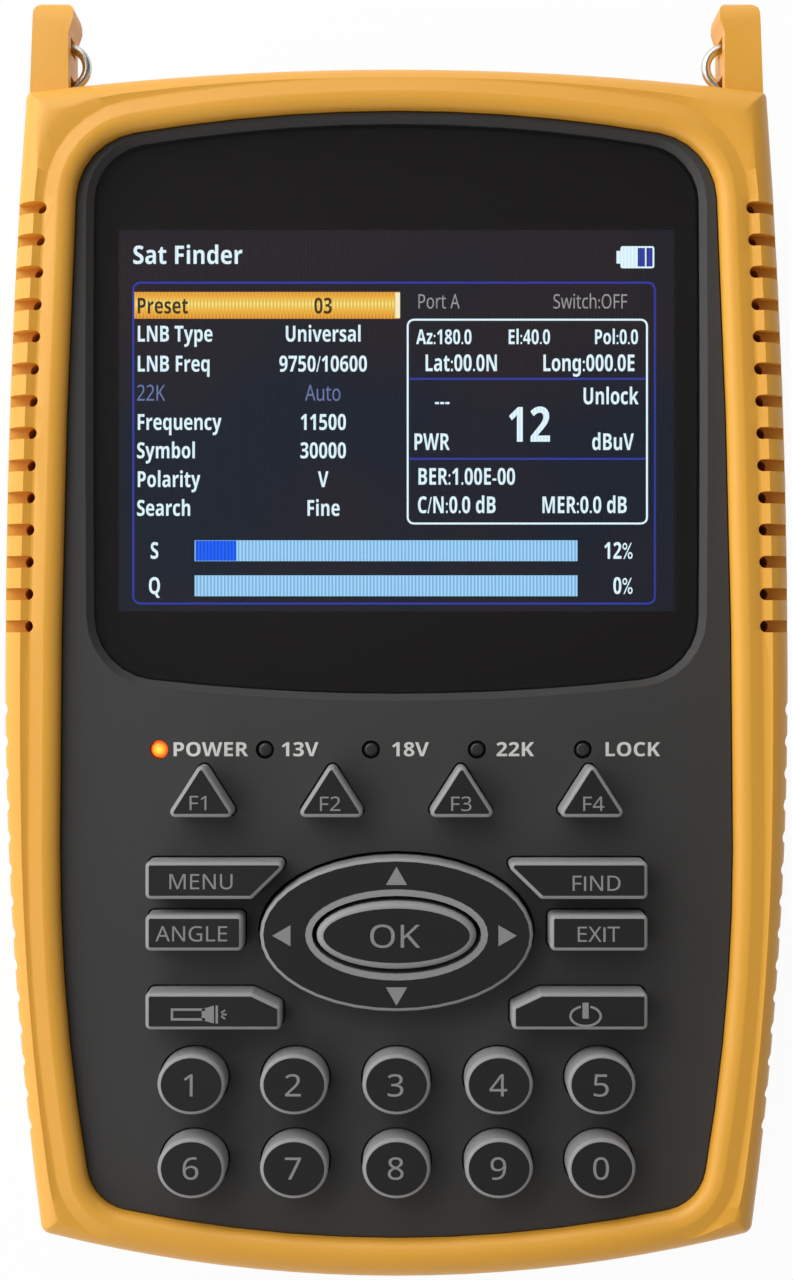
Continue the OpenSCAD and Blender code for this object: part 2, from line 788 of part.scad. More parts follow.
// Holes of the face panel for the lamps, the keys and the rocker
module face_holes() {
    for (x = led_xs) translate([x, led_y]) circle(d = led_d + part_gap);
    for (x = fkey_xs) translate([x, 0]) polygon(around(fkey_shape, key_corner + key_gap));
    for (v = side_shapes) pair() polygon(around(v, key_corner + key_gap));
    for (column = [0:4]) for (row = [0, 1]) translate(digit_at(column, row))
        polygon(oval_points(digit_w + 2 * key_gap, digit_h + 2 * key_gap));
    translate([0, rocker_y]) polygon(oval_points(rocker_w + 2 * rocker_gap, hole_h));
}

// Layer of the face panel between two heights: one outline less others
module layer(z0, z1) {
    translate([0, 0, z0]) linear_extrude(z1 - z0) difference() {
        children(0);
        children([1:$children - 1]);
    }
}

module lens_seat() {
    polygon(outline(lens_plan, -bore_gap));
}

// The panel is built up from the seat of the lens to the face, with posts and lugs under it
module face_panel() color("dimgray") union() {
    slope = (lens_slope - bore_gap) / (z_face - z_lip);
    layer(z_tub, z_seat) {
        polygon(outline(lens_plan, -lens_slope));
        translate([-lcd_w / 2 - part_gap, lcd_y0 - part_gap]) square([lcd_w, lcd_h] + 2 * part_gap * [1, 1]);
    }
    layer(z_seat, z_under) {
        polygon(outline(lens_plan, -lens_slope));
        lens_seat();
    }
    layer(z_under, z_lip) {
        polygon(outline(face_plan, -flange_w));
        lens_seat();
        face_holes();
    }
    difference() {
        layer(z_lip, z_face) {
            polygon(outline(face_plan, part_gap));
            face_holes();
        }
        loft([for (rise = [-part_gap, z_face - z_lip + part_gap])
            [outline(lens_plan, -bore_gap - slope * rise), z_lip + rise]]);
    }
    for (i = [0, 1]) pair() translate([stud_xy[i][0], stud_xy[i][1], z_board]) difference() {
        cylinder(d = stud_d, h = [z_tub, z_under][i] - z_board);
        translate([0, 0, -over]) cylinder(d = board_screw_d + 2 * bore_gap, h = stud_deep + over);
    }
    translate([0, rocker_y, 0]) for (side = [-1, 1]) difference() {
        block([-lug_w / 2, side * carrier_pin_y - lug_t / 2, z_mat + part_gap / 2],
              [lug_w / 2, side * carrier_pin_y + lug_t / 2, z_under]);
        translate([0, side * carrier_pin_y, z_carrier_pin]) bar_y(pivot_r + bore_gap, -lug_t, lug_t);
    }
}

module screen_lens() color([0.05, 0.05, 0.07]) plate(outline(lens_plan), z_seat, z_lens);

module lcd_module() color("midnightblue") union() {
    f = lcd_frame;
    block([-lcd_w / 2 - f, lcd_y0 - f, z_board], [lcd_w / 2 + f, lcd_y1 + f, z_lcd - part_gap]);
    block([-lcd_w / 2, lcd_y0, z_lcd - part_gap], [lcd_w / 2, lcd_y1, z_lcd]);
}

module lcd_gasket() color([0.15, 0.15, 0.15]) difference() {
    f = lcd_frame;
    block([-lcd_w / 2 - f, lcd_y0 - f, z_lcd - part_gap], [lcd_w / 2 + f, lcd_y1 + f, z_tub]);
    block([-lcd_w / 2 - part_gap, lcd_y0 - part_gap, z_lcd - over],
          [lcd_w / 2 + part_gap, lcd_y1 + part_gap, z_tub + over]);
}

// Main board, screwed to the face panel from behind
board_rise = 5;
board_y0 = open_low + board_rise;

module main_board() color("darkgreen") difference() {
    block([-board_w / 2, board_y0, z_back], [board_w / 2, board_y1, z_board]);
    at_studs() translate([0, 0, z_back - over])
        cylinder(d = board_screw_d + 2 * part_gap, h = board_t + 2 * over);
}

// Places of the plungers, and so of the pads and of the holes in the mat
rocker_pad_in = 2;
rocker_pad_y = rocker_h / 2 - rocker_pad_in;
rocker_pads = [[ring_pin_x, 0], [-ring_pin_x, 0], [0, rocker_pad_y], [0, -rocker_pad_y]];
plungers = concat([for (x = fkey_xs) middle(fkey_shape) + [x, 0]],
                  [for (v = side_shapes) for (s = [1, -1]) [s * middle(v)[0], middle(v)[1]]],
                  [for (column = [0:4]) for (row = [0, 1]) digit_at(column, row)],
                  [[0, rocker_y]]);

module contact_pads() color("gold") {
    for (p = concat(plungers, [for (p = rocker_pads) p + [0, rocker_y]]))
        translate([p[0], p[1], z_board]) cylinder(r = plunger_r, h = pad_t);
}

mat_side = 2;
mat_hw = key_out + part_gap;
mat_y1 = led_y + led_d / 2 + mat_side;
mat_y0 = digit_y[1] - digit_h / 2 - part_gap;
lamp_foot = 0.4;
lamp_dome = 0.6;

module keypad_mat() color("gray") difference() {
    block([-mat_hw, mat_y0, z_board], [mat_hw, mat_y1, z_mat]);
    for (p = concat(plungers, [for (p = rocker_pads) p + [0, rocker_y]]))
        translate([p[0], p[1], z_board - over])
            cylinder(r = plunger_r + 2 * part_gap, h = mat_t + 2 * over);
    for (x = led_xs) translate([x, led_y, z_board - over])
        cylinder(d = led_d + 2 * lamp_foot + 2 * part_gap, h = mat_t + 2 * over);
    at_studs() translate([0, 0, z_board - over])
        cylinder(d = stud_d + 2 * part_gap, h = mat_t + 2 * over);
}

module status_leds() color("orangered") {
    r = led_d / 2;
    foot = r + lamp_foot;
    for (x = led_xs) translate([x, led_y, 0]) rotate_extrude()
        polygon(concat([[0, z_board], [foot, z_board], [foot, z_mat + part_gap], [r, z_mat + part_gap]],
                       [for (s = edge_steps(r * lamp_dome, z_face - part_gap)) [r + s[0], s[1]]],
                       [[0, z_face - part_gap]]));
}

// Rubber key with corners: cap, flange and plunger
key_c_min = 0.1;

module corner_key(v) color([0.3, 0.3, 0.3]) union() {
    m = middle(v);
    loft(concat([[around(v, key_corner), z_flange_low]],
                [for (s = edge_steps(key_edge, z_key))
                    [around(v, max(key_corner + s[0], key_c_min)), s[1]]]));
    plate(around(v, key_corner + key_flange), z_flange_low, z_flange_top);
    translate([m[0], m[1], z_plunger]) cylinder(r = plunger_r, h = z_flange_low - z_plunger + part_gap);
}

module digit_key(column, row) color([0.3, 0.3, 0.3]) translate(digit_at(column, row)) union() {
    oval_cap(digit_w, digit_h, z_flange_low, z_key, key_edge);
    oval(digit_w + 2 * key_flange, digit_h + 2 * key_flange, z_flange_low, z_flange_top);
    translate([0, 0, z_plunger]) cylinder(r = plunger_r, h = z_flange_low - z_plunger + part_gap);
}

module rocker_carrier() color("gray") translate([0, rocker_y, 0]) difference() {
    union() {
        oval(rocker_w - 2 * lug_t, rocker_h - lug_t, z_carrier, z_carrier + carrier_t);
        translate([0, 0, z_carrier_pin]) {
            bar_y(pivot_r, rocker_h / 2 - 3 * pivot_r, carrier_pin_y + lug_t / 2);
            bar_y(pivot_r, -carrier_pin_y - lug_t / 2, 3 * pivot_r - rocker_h / 2);
        }
        pair() block([ring_pin_x - lug_t / 2, -lug_w / 2, z_carrier],
                     [ring_pin_x + lug_t / 2, lug_w / 2, z_ring_pin + pivot_r + lug_wall]);
    }
    oval(ok_w + 4 * ok_gap, ok_h + 4 * ok_gap, z_carrier - over, z_carrier + carrier_t + over);
    pair() translate([ring_pin_x, 0, z_ring_pin]) rotate([0, 90, 0])
        cylinder(r = pivot_r + bore_gap, h = 2 * lug_t, center = true);
}

module rocker_ring() color([0.3, 0.3, 0.3]) translate([0, rocker_y, 0]) union() {
    pocket = lug_t / 2 + 2 * part_gap;
    difference() {
        oval_cap(rocker_w, rocker_h, z_ring_low, z_rocker, key_edge);
        oval(ok_w + 2 * ok_gap, ok_h + 2 * ok_gap, z_ring_low - over, z_rocker + over);
        pair() block([ring_pin_x - pocket, -lug_w / 2 - part_gap, z_ring_low - over],
                     [ring_pin_x + pocket, lug_w / 2 + part_gap, z_ring_pin + pivot_r + lug_wall + part_gap]);
    }
    pair() translate([ring_pin_x, 0, z_ring_pin]) rotate([0, 90, 0])
        cylinder(r = pivot_r, h = 2 * pocket + 2 * part_gap, center = true);
}

module key_ok() color([0.3, 0.3, 0.3]) translate([0, rocker_y, 0]) union() {
    foot = z_mat + key_travel + part_gap;
    oval_cap(ok_w, ok_h, foot, z_key, ok_edge);
    translate([0, 0, z_plunger]) cylinder(r = plunger_r, h = foot - z_plunger + part_gap);
}

// Half section of a round cap with a rounded edge
function cap_profile(r, z0, z1, edge) =
    concat([[0, z0], [r, z0]], [for (s = edge_steps(edge, z1)) [r + s[0], s[1]]], [[0, z1]]);

// Connector end: the panel lies against the inner end of the well
module at_jack(x) {
    translate([x, 0, jack_z]) children();
}

module connector_panel() color([0.12, 0.12, 0.12]) difference() {
    block([-well_w / 2 - well_wall + plate_in, plate_y0, well_z0 - well_wall + plate_in],
          [well_w / 2 + well_wall - plate_in, plate_y1, well_z1 + well_wall - plate_in]);
    at_jack(coax_x) bar_y(coax_r, plate_y0 - over, plate_y1 + over);
    at_jack(av_x) bar_y(jack_r + bore_gap, plate_y0 - over, plate_y1 + over);
    at_jack(dc_x) bar_y(dc_r + bore_gap, plate_y0 - over, plate_y1 + over);
    at_jack(torch_end_x) bar_y(torch_d / 2 + torch_rim + bore_gap, plate_y0 - over, plate_y1 + over);
}

washer_t = 0.6;
washer_rim = 0.8;
nut_t = 2.2;
nut_af = 11;
coax_flange = 6.5;
coax_flange_t = 1.8;
can_gap = 1;
can_y1 = plate_y0 - coax_flange_t - can_gap;
coax_bore = 3.4;
coax_sink = 1;

module coax_connector() color("silver") at_jack(coax_x) difference() {
    union() {
        bar_y(coax_flange, plate_y0 - coax_flange_t, plate_y0);
        bar_y(coax_relief, can_y1, plate_y1 + washer_t + nut_t);
        bar_y(coax_r, plate_y1 + washer_t + nut_t, plate_y1 + coax_l);
    }
    bar_y(coax_bore, plate_y1, plate_y1 + coax_l + over);
}

module coax_insulator() color("white") at_jack(coax_x)
    bar_y(coax_bore - bore_gap, plate_y1, plate_y1 + coax_l - coax_sink);

module coax_washer() color("silver") at_jack(coax_x) difference() {
    bar_y(nut_af / 2 + washer_rim, plate_y1, plate_y1 + washer_t);
    bar_y(coax_relief + bore_gap, plate_y1 - over, plate_y1 + washer_t + over);
}

module coax_nut() color("silver") at_jack(coax_x) difference() {
    translate([0, plate_y1 + washer_t, 0]) rotate([-90, 0, 0])
        cylinder(d = nut_af / cos(30), h = nut_t, $fn = 6);
    bar_y(coax_relief + bore_gap, plate_y1, plate_y1 + washer_t + nut_t + over);
}

module tuner_can() color("silver") difference() {
    rib = 0.6;
    block([-can_w / 2, can_y1 - can_l, z_back - can_d], [can_w / 2, can_y1, z_back]);
    block([-can_w / 2 + 2 * rib, can_y1 - can_l + 2 * rib, z_back - can_d - over],
          [can_w / 2 - 2 * rib, can_y1 - 2 * rib, z_back - can_d + rib]);
}

jack_body_l = 12;
jack_back = 2;
jack_lip = 1;
dc_pin_r = 1;
torch_flange = 1;

// Jack with its body on the board and its barrel in the connector panel
module jack(x, r, bore) {
    difference() {
        union() {
            block([x - jack_body, plate_y0 - jack_body_l, jack_z - jack_body],
                  [x + jack_body, plate_y0, z_back]);
            at_jack(x) bar_y(r, plate_y0 - over / 2, plate_y1 + jack_lip);
        }
        at_jack(x) bar_y(bore / 2, plate_y0 - jack_body_l + jack_back, plate_y1 + jack_lip + over);
    }
}

module av_jack() color([0.1, 0.1, 0.1]) jack(av_x, jack_r, av_bore);

module dc_jack() color([0.1, 0.1, 0.1]) union() {
    jack(dc_x, dc_r, dc_bore);
    at_jack(dc_x) bar_y(dc_pin_r, plate_y0 - jack_body_l + jack_back / 2, plate_y1);
}

module torch_bezel() color("silver") at_jack(torch_end_x) difference() {
    r = torch_d / 2 + torch_rim;
    union() {
        bar_y(r, plate_y0, plate_y1 + jack_lip);
        bar_y(r + torch_flange, plate_y0 - torch_flange, plate_y0);
    }
    bar_y(torch_d / 2 + bore_gap, plate_y0, plate_y1 + jack_lip + over);
}

module torch_lens() color("white") at_jack(torch_end_x)
    translate([0, plate_y0, 0]) rotate([-90, 0, 0]) rotate_extrude()
        polygon(cap_profile(torch_d / 2, 0, plate_t + jack_lip, jack_lip));

// Battery cells with their end caps, and the contacts at both ends of the bay
cell_cap_d = 6;

cell_cap_h = 0.3;
contact_share = 0.75;
cell_x = (cell_d + cell_gap) / 2;
cell_low = door_t + cell_gap;

module at_cells() {
    pair() translate([cell_x, bay_y0 + contact_t + cell_gap, cell_low + cell_d / 2]) children();
}

module battery_cells() color("teal") at_cells() union() {
    bar_y(cell_d / 2, 0, cell_l - cell_cap_h);
    bar_y(cell_cap_d / 2, cell_l - cell_cap_h - over, cell_l);
}

module battery_contacts() color("silver") {
    for (y = [bay_y0, bay_y1 - contact_t]) pair() translate([cell_x, y, cell_low])
        block([-cell_d / 4, 0, 0], [cell_d / 4, contact_t, cell_d * contact_share]);
}

door_tab = 1.4;
door_head_d = 3.6;
door_head_t = 0.9;
door_ribs = 5;
door_rib_in = 6;
door_rib_pitch = 3;
door_rib_w = 1.4;
door_rib_deep = 0.4;

module battery_door() color("goldenrod") difference() {
    union() {
        block([-door_hw, door_y0, 0], [door_hw, door_y1, door_t]);
        block([-bay_hw + cell_gap, bay_y0 + cell_gap, door_t - part_gap],
              [bay_hw - cell_gap, bay_y0 + cell_gap + door_tab, door_t + cell_gap / 2]);
    }
    for (i = [0:door_ribs - 1]) translate([0, door_y1 - door_rib_in - i * door_rib_pitch, 0])
        block([-bay_hw / 2, 0, -over], [bay_hw / 2, door_rib_w, door_rib_deep]);
    at_door_screws() {
        translate([0, 0, -over]) cylinder(d = board_screw_d + 2 * part_gap, h = door_t + 2 * over);
        translate([0, 0, -over]) cylinder(d = door_head_d + 2 * part_gap, h = door_head_t + over);
    }
}

// Screw along +Z from the underside of its head, with a cross slot
slot_w = 0.6;
case_head_t = 2;

module screw(d, l, head_d, head_t) {
    difference() {
        union() {
            translate([0, 0, -head_t]) cylinder(d = head_d, h = head_t);
            translate([0, 0, -head_t / 2]) cylinder(d = d, h = l + head_t / 2);
        }
        for (a = [0, 90]) rotate(a)
            block([-head_d / 3, -slot_w / 2, -head_t - over], [head_d / 3, slot_w / 2, -head_t / 2]);
    }
}

module door_screws() color("silver") at_door_screws()
    translate([0, 0, door_head_t]) screw(board_screw_d, door_screw_l, door_head_d, door_head_t - part_gap);

module case_screws() color("silver") at_posts()
    translate([0, 0, screw_deep]) screw(screw_d, z_pilot - screw_deep - part_gap, screw_head, case_head_t);

module board_screws() color("silver") at_studs()
    translate([0, 0, z_back])
        screw(board_screw_d, board_t + stud_deep - part_gap, board_head_d, board_head_t);

buzzer_x = -26;
buzzer_hole = 2;
buzzer_y = can_y1 - can_l / 2;

module buzzer() color([0.1, 0.1, 0.1]) translate([buzzer_x, buzzer_y, z_back - buzzer_h]) difference() {
    cylinder(d = buzzer_d, h = buzzer_h);
    translate([0, 0, -over]) cylinder(d = buzzer_hole, h = over + buzzer_h / 2);
}

// Strap ring at the right ear: straight bar, bend and slanted leg
module strap_ring() {
    translate([bar_x, bend_y, bar_z]) mirror([1, 0, 0]) union() {
        bar_y(bar_r, leg_y - bar_r, bend_r + bar_r);
        translate([bend_x, 0, 0]) rotate_extrude(angle = 90 + leg_turn, start = -leg_turn)
            translate([bend_r, 0]) circle(wire_r);
        translate([0, bend_r, 0]) rotate([0, 90, 0]) cylinder(r = wire_r, h = bend_x);
        translate([bend_x + bend_r * cos(leg_turn), -bend_r * sin(leg_turn), 0])
            rotate([90, 0, -leg_turn]) cylinder(r = wire_r, h = leg_l);
    }
}

module centred() {
    translate([0, -y_mid, 0]) children();
}

centred() front_shell();
centred() rear_shell();
centred() face_panel();
centred() screen_lens();
centred() lcd_module();
centred() lcd_gasket();
centred() main_board();
centred() contact_pads();
centred() keypad_mat();
centred() tuner_can();
centred() coax_connector();
centred() coax_insulator();
centred() coax_washer();
centred() coax_nut();
centred() connector_panel();
centred() av_jack();
centred() dc_jack();
centred() torch_bezel();
centred() torch_lens();
centred() battery_cells();
centred() battery_contacts();
centred() battery_door();
centred() door_screws();
centred() case_screws();
centred() board_screws();
centred() buzzer();
centred() status_leds();
centred() mirror([1, 0, 0]) color("silver") strap_ring();  // strap_ring_left
centred() color("silver") strap_ring();  // strap_ring_right
centred() translate([fkey_xs[0], 0, 0]) corner_key(fkey_shape);  // key_f1
centred() translate([fkey_xs[1], 0, 0]) corner_key(fkey_shape);  // key_f2
centred() translate([fkey_xs[2], 0, 0]) corner_key(fkey_shape);  // key_f3
centred() translate([fkey_xs[3], 0, 0]) corner_key(fkey_shape);  // key_f4
centred() corner_key(side_shapes[0]);  // key_menu
centred() mirror([1, 0, 0]) corner_key(side_shapes[0]);  // key_find
centred() corner_key(side_shapes[1]);  // key_angle
centred() mirror([1, 0, 0]) corner_key(side_shapes[1]);  // key_exit
centred() corner_key(side_shapes[2]);  // key_torch
centred() mirror([1, 0, 0]) corner_key(side_shapes[2]);  // key_power
centred() rocker_carrier();
centred() rocker_ring();
centred() key_ok();
centred() digit_key(0, 0);  // key_1
centred() digit_key(1, 0);  // key_2
centred() digit_key(2, 0);  // key_3
centred() digit_key(3, 0);  // key_4
centred() digit_key(4, 0);  // key_5
centred() digit_key(0, 1);  // key_6
centred() digit_key(1, 1);  // key_7
centred() digit_key(2, 1);  // key_8
centred() digit_key(3, 1);  // key_9
centred() digit_key(4, 1);  // key_0
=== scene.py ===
import math

import bmesh
import bpy
from mathutils import Matrix, Vector


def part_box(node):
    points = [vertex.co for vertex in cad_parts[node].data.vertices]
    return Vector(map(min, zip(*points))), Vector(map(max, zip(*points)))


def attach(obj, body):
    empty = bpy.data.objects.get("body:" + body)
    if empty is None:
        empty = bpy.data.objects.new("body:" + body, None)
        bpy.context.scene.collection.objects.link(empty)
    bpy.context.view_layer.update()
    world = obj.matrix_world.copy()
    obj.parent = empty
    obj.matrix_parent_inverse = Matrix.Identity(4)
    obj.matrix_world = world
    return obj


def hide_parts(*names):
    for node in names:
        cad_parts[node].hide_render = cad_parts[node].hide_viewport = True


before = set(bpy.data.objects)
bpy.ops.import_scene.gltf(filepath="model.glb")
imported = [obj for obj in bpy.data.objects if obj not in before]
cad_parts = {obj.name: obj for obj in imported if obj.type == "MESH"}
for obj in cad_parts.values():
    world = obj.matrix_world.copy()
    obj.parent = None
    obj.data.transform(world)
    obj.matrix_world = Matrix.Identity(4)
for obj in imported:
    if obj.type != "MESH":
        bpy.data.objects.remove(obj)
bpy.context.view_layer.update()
scene = bpy.context.scene

# Studio: the meter lies on its back on a plain white table and is looked at from straight above.
# The camera stands as near as the photograph's was, so that the walls of the keys show as they do there.
# The sky is pale at its foot and dim overhead, and four soft boxes light the case, mostly from the left.
mm = 0.001
face_z = 40 * mm
camera_rise = 230 * mm
seen_length = 160 * mm
camera_y = -0.35 * mm
sensor = 36

camera = bpy.data.objects.new("camera", bpy.data.cameras.new("camera"))
camera.data.sensor_width = sensor
camera.data.lens = sensor * camera_rise / seen_length
camera.location = (0, camera_y, face_z + camera_rise)
scene.collection.objects.link(camera)
scene.camera = camera
scene.view_settings.view_transform = "Standard"


def link(tree, source, output, target, field):
    tree.links.new(source.outputs[output], target.inputs[field])


def maths(tree, operation, second=0, third=0):
    node = tree.nodes.new("ShaderNodeMath")
    node.operation = operation
    node.inputs[1].default_value = second
    node.inputs[2].default_value = third
    return node


sky_low = 1.0
sky_high = 0.20
sky_foot = 0.1
sky_turn = 0.75
sky_lean = -0.75
sky_colour = (1.0, 0.97, 0.95, 1)
world = bpy.data.worlds.new("studio")
scene.world = world
world.use_nodes = True
sky = world.node_tree
sky_light = sky.nodes["Background"]
sky_light.inputs["Color"].default_value = sky_colour
sky_place = sky.nodes.new("ShaderNodeTexCoord")
sky_axes = sky.nodes.new("ShaderNodeSeparateXYZ")
sky_fade = sky.nodes.new("ShaderNodeMapRange")
sky_fade.interpolation_type = "SMOOTHSTEP"
sky_fade.inputs["From Min"].default_value = sky_foot
sky_fade.inputs["From Max"].default_value = sky_turn
sky_fade.inputs["To Min"].default_value = sky_low
sky_fade.inputs["To Max"].default_value = sky_high
sky_side = maths(sky, "MULTIPLY_ADD", sky_lean, 1)
sky_level = maths(sky, "MULTIPLY")
link(sky, sky_place, "Generated", sky_axes, "Vector")
link(sky, sky_axes, "Z", sky_fade, "Value")
link(sky, sky_axes, "X", sky_side, 0)
link(sky, sky_side, 0, sky_level, 0)
link(sky, sky_fade, "Result", sky_level, 1)
link(sky, sky_level, 0, sky_light, "Strength")

backdrop_white = (1, 1, 1, 1)
backdrop = sky.nodes.new("ShaderNodeBackground")
backdrop.inputs["Color"].default_value = backdrop_white
sky_rays = sky.nodes.new("ShaderNodeLightPath")
sky_at_foot = maths(sky, "LESS_THAN", sky_foot)
sky_mirrored = maths(sky, "MAXIMUM")
sky_mirrored_foot = maths(sky, "MULTIPLY")
sky_seen = maths(sky, "MAXIMUM")
sky_mix = sky.nodes.new("ShaderNodeMixShader")
link(sky, sky_axes, "Z", sky_at_foot, 0)
link(sky, sky_rays, "Is Glossy Ray", sky_mirrored, 0)
link(sky, sky_rays, "Is Transmission Ray", sky_mirrored, 1)
link(sky, sky_mirrored, 0, sky_mirrored_foot, 0)
link(sky, sky_at_foot, 0, sky_mirrored_foot, 1)
link(sky, sky_rays, "Is Camera Ray", sky_seen, 0)
link(sky, sky_mirrored_foot, 0, sky_seen, 1)
link(sky, sky_seen, 0, sky_mix, "Fac")
link(sky, sky_light, "Background", sky_mix, 1)
link(sky, backdrop, "Background", sky_mix, 2)
link(sky, sky_mix, "Shader", sky.nodes["World Output"], "Surface")

floor_drop = 0.1 * mm
floor_half = 3.0
floor_white = (0.9, 0.9, 0.9, 1)
floor_glow = 0.95
floor_mesh = bmesh.new()
bmesh.ops.create_grid(floor_mesh, x_segments=1, y_segments=1, size=floor_half)
bmesh.ops.translate(floor_mesh, verts=floor_mesh.verts, vec=(0, 0, -floor_drop))
floor = bpy.data.objects.new("floor", bpy.data.meshes.new("floor"))
floor_mesh.to_mesh(floor.data)
floor_mesh.free()
scene.collection.objects.link(floor)

paper = bpy.data.materials.new("white table")
paper.use_nodes = True
paper_tree = paper.node_tree
paper_tree.nodes.remove(paper_tree.nodes["Principled BSDF"])
paper_matte = paper_tree.nodes.new("ShaderNodeBsdfDiffuse")
paper_matte.inputs["Color"].default_value = floor_white
paper_glow = paper_tree.nodes.new("ShaderNodeEmission")
paper_rays = paper_tree.nodes.new("ShaderNodeLightPath")
paper_seen = maths(paper_tree, "MAXIMUM")
paper_mirrored = maths(paper_tree, "MAXIMUM")
paper_share = maths(paper_tree, "MULTIPLY", floor_glow)
paper_mix = paper_tree.nodes.new("ShaderNodeMixShader")
paper_side = paper_tree.nodes.new("ShaderNodeNewGeometry")
paper_under = paper_tree.nodes.new("ShaderNodeBsdfTransparent")
paper_both = paper_tree.nodes.new("ShaderNodeMixShader")
link(paper_tree, paper_rays, "Is Camera Ray", paper_seen, 0)
link(paper_tree, paper_rays, "Is Glossy Ray", paper_seen, 1)
link(paper_tree, paper_seen, 0, paper_mirrored, 0)
link(paper_tree, paper_rays, "Is Transmission Ray", paper_mirrored, 1)
link(paper_tree, paper_mirrored, 0, paper_share, 0)
link(paper_tree, paper_share, 0, paper_mix, "Fac")
link(paper_tree, paper_matte, "BSDF", paper_mix, 1)
link(paper_tree, paper_glow, "Emission", paper_mix, 2)
link(paper_tree, paper_side, "Backfacing", paper_both, "Fac")
link(paper_tree, paper_mix, "Shader", paper_both, 1)
link(paper_tree, paper_under, "BSDF", paper_both, 2)
link(paper_tree, paper_both, "Shader", paper_tree.nodes["Material Output"], "Surface")
floor.data.materials.append(paper)

soft_side = 0.50
soft_boxes = [("key light", (-0.40, 0.32, 0.40), 2.6), ("top light", (-0.05, 0.55, 0.45), 1.0),
              ("left light", (-0.45, -0.25, 0.40), 0.9), ("right light", (0.50, -0.10, 0.45), 0.2)]
for name, place, power in soft_boxes:
    soft_lamp = bpy.data.lights.new(name, "AREA")
    soft_lamp.shape = "SQUARE"
    soft_lamp.size = soft_side
    soft_lamp.energy = power
    soft_box = bpy.data.objects.new(name, soft_lamp)
    soft_box.location = place
    soft_box.rotation_mode = "QUATERNION"
    soft_box.rotation_quaternion = (-Vector(place)).to_track_quat("-Z", "Y")
    scene.collection.objects.link(soft_box)

# Rear shell: the lower half of the case, moulded in yellow plastic with a fine eroded texture.
# Six screws from behind pull it against the front shell, and it carries the battery bay.
plastic = bpy.data.node_groups.new("moulded plastic", "ShaderNodeTree")
plastic_fields = [("Colour", "NodeSocketColor"), ("Roughness", "NodeSocketFloat"),
                  ("Grains per metre", "NodeSocketFloat"), ("Mottle", "NodeSocketFloat")]
for field, kind in plastic_fields:
    plastic.interface.new_socket(field, in_out="INPUT", socket_type=kind)
plastic_results = [("Colour", "NodeSocketColor"), ("Roughness", "NodeSocketFloat"),
                   ("Height", "NodeSocketFloat")]
for field, kind in plastic_results:
    plastic.interface.new_socket(field, in_out="OUTPUT", socket_type=kind)
grain_detail = 3
cloud_scale = 55
cloud_detail = 4
cloud_share = 0.12
noise_middle = 0.5
plastic_in = plastic.nodes.new("NodeGroupInput")
plastic_out = plastic.nodes.new("NodeGroupOutput")
plastic_place = plastic.nodes.new("ShaderNodeTexCoord")
plastic_grain = plastic.nodes.new("ShaderNodeTexNoise")
plastic_grain.inputs["Detail"].default_value = grain_detail
plastic_cloud = plastic.nodes.new("ShaderNodeTexNoise")
plastic_cloud.inputs["Scale"].default_value = cloud_scale
plastic_cloud.inputs["Detail"].default_value = cloud_detail
plastic_swing = maths(plastic, "SUBTRACT", noise_middle)
plastic_tone = maths(plastic, "MULTIPLY_ADD", third=1)
plastic_gloss = maths(plastic, "MULTIPLY_ADD", cloud_share)
plastic_shade = plastic.nodes.new("ShaderNodeHueSaturation")
link(plastic, plastic_place, "Object", plastic_grain, "Vector")
link(plastic, plastic_place, "Object", plastic_cloud, "Vector")
link(plastic, plastic_in, "Grains per metre", plastic_grain, "Scale")
link(plastic, plastic_cloud, 0, plastic_swing, 0)
link(plastic, plastic_swing, 0, plastic_tone, 0)
link(plastic, plastic_in, "Mottle", plastic_tone, 1)
link(plastic, plastic_tone, 0, plastic_shade, "Value")
link(plastic, plastic_in, "Colour", plastic_shade, "Color")
link(plastic, plastic_swing, 0, plastic_gloss, 0)
link(plastic, plastic_in, "Roughness", plastic_gloss, 2)
link(plastic, plastic_shade, "Color", plastic_out, "Colour")
link(plastic, plastic_gloss, 0, plastic_out, "Roughness")
link(plastic, plastic_grain, 0, plastic_out, "Height")


def moulded(name, colour, roughness, grains=2200, mottle=0.12, depth=0.05 * mm, strength=0.35,
            metallic=0.0):
    material = bpy.data.materials.new(name)
    material.use_nodes = True
    tree = material.node_tree
    shader = tree.nodes["Principled BSDF"]
    shader.inputs["Metallic"].default_value = metallic
    surface = tree.nodes.new("ShaderNodeGroup")
    surface.node_tree = plastic
    surface.inputs["Colour"].default_value = (*colour, 1)
    surface.inputs["Roughness"].default_value = roughness
    surface.inputs["Grains per metre"].default_value = grains
    surface.inputs["Mottle"].default_value = mottle
    bump = tree.nodes.new("ShaderNodeBump")
    bump.inputs["Strength"].default_value = strength
    bump.inputs["Distance"].default_value = depth
    link(tree, surface, "Colour", shader, "Base Color")
    link(tree, surface, "Roughness", shader, "Roughness")
    link(tree, surface, "Height", bump, "Height")
    link(tree, bump, "Normal", shader, "Normal")
    return material


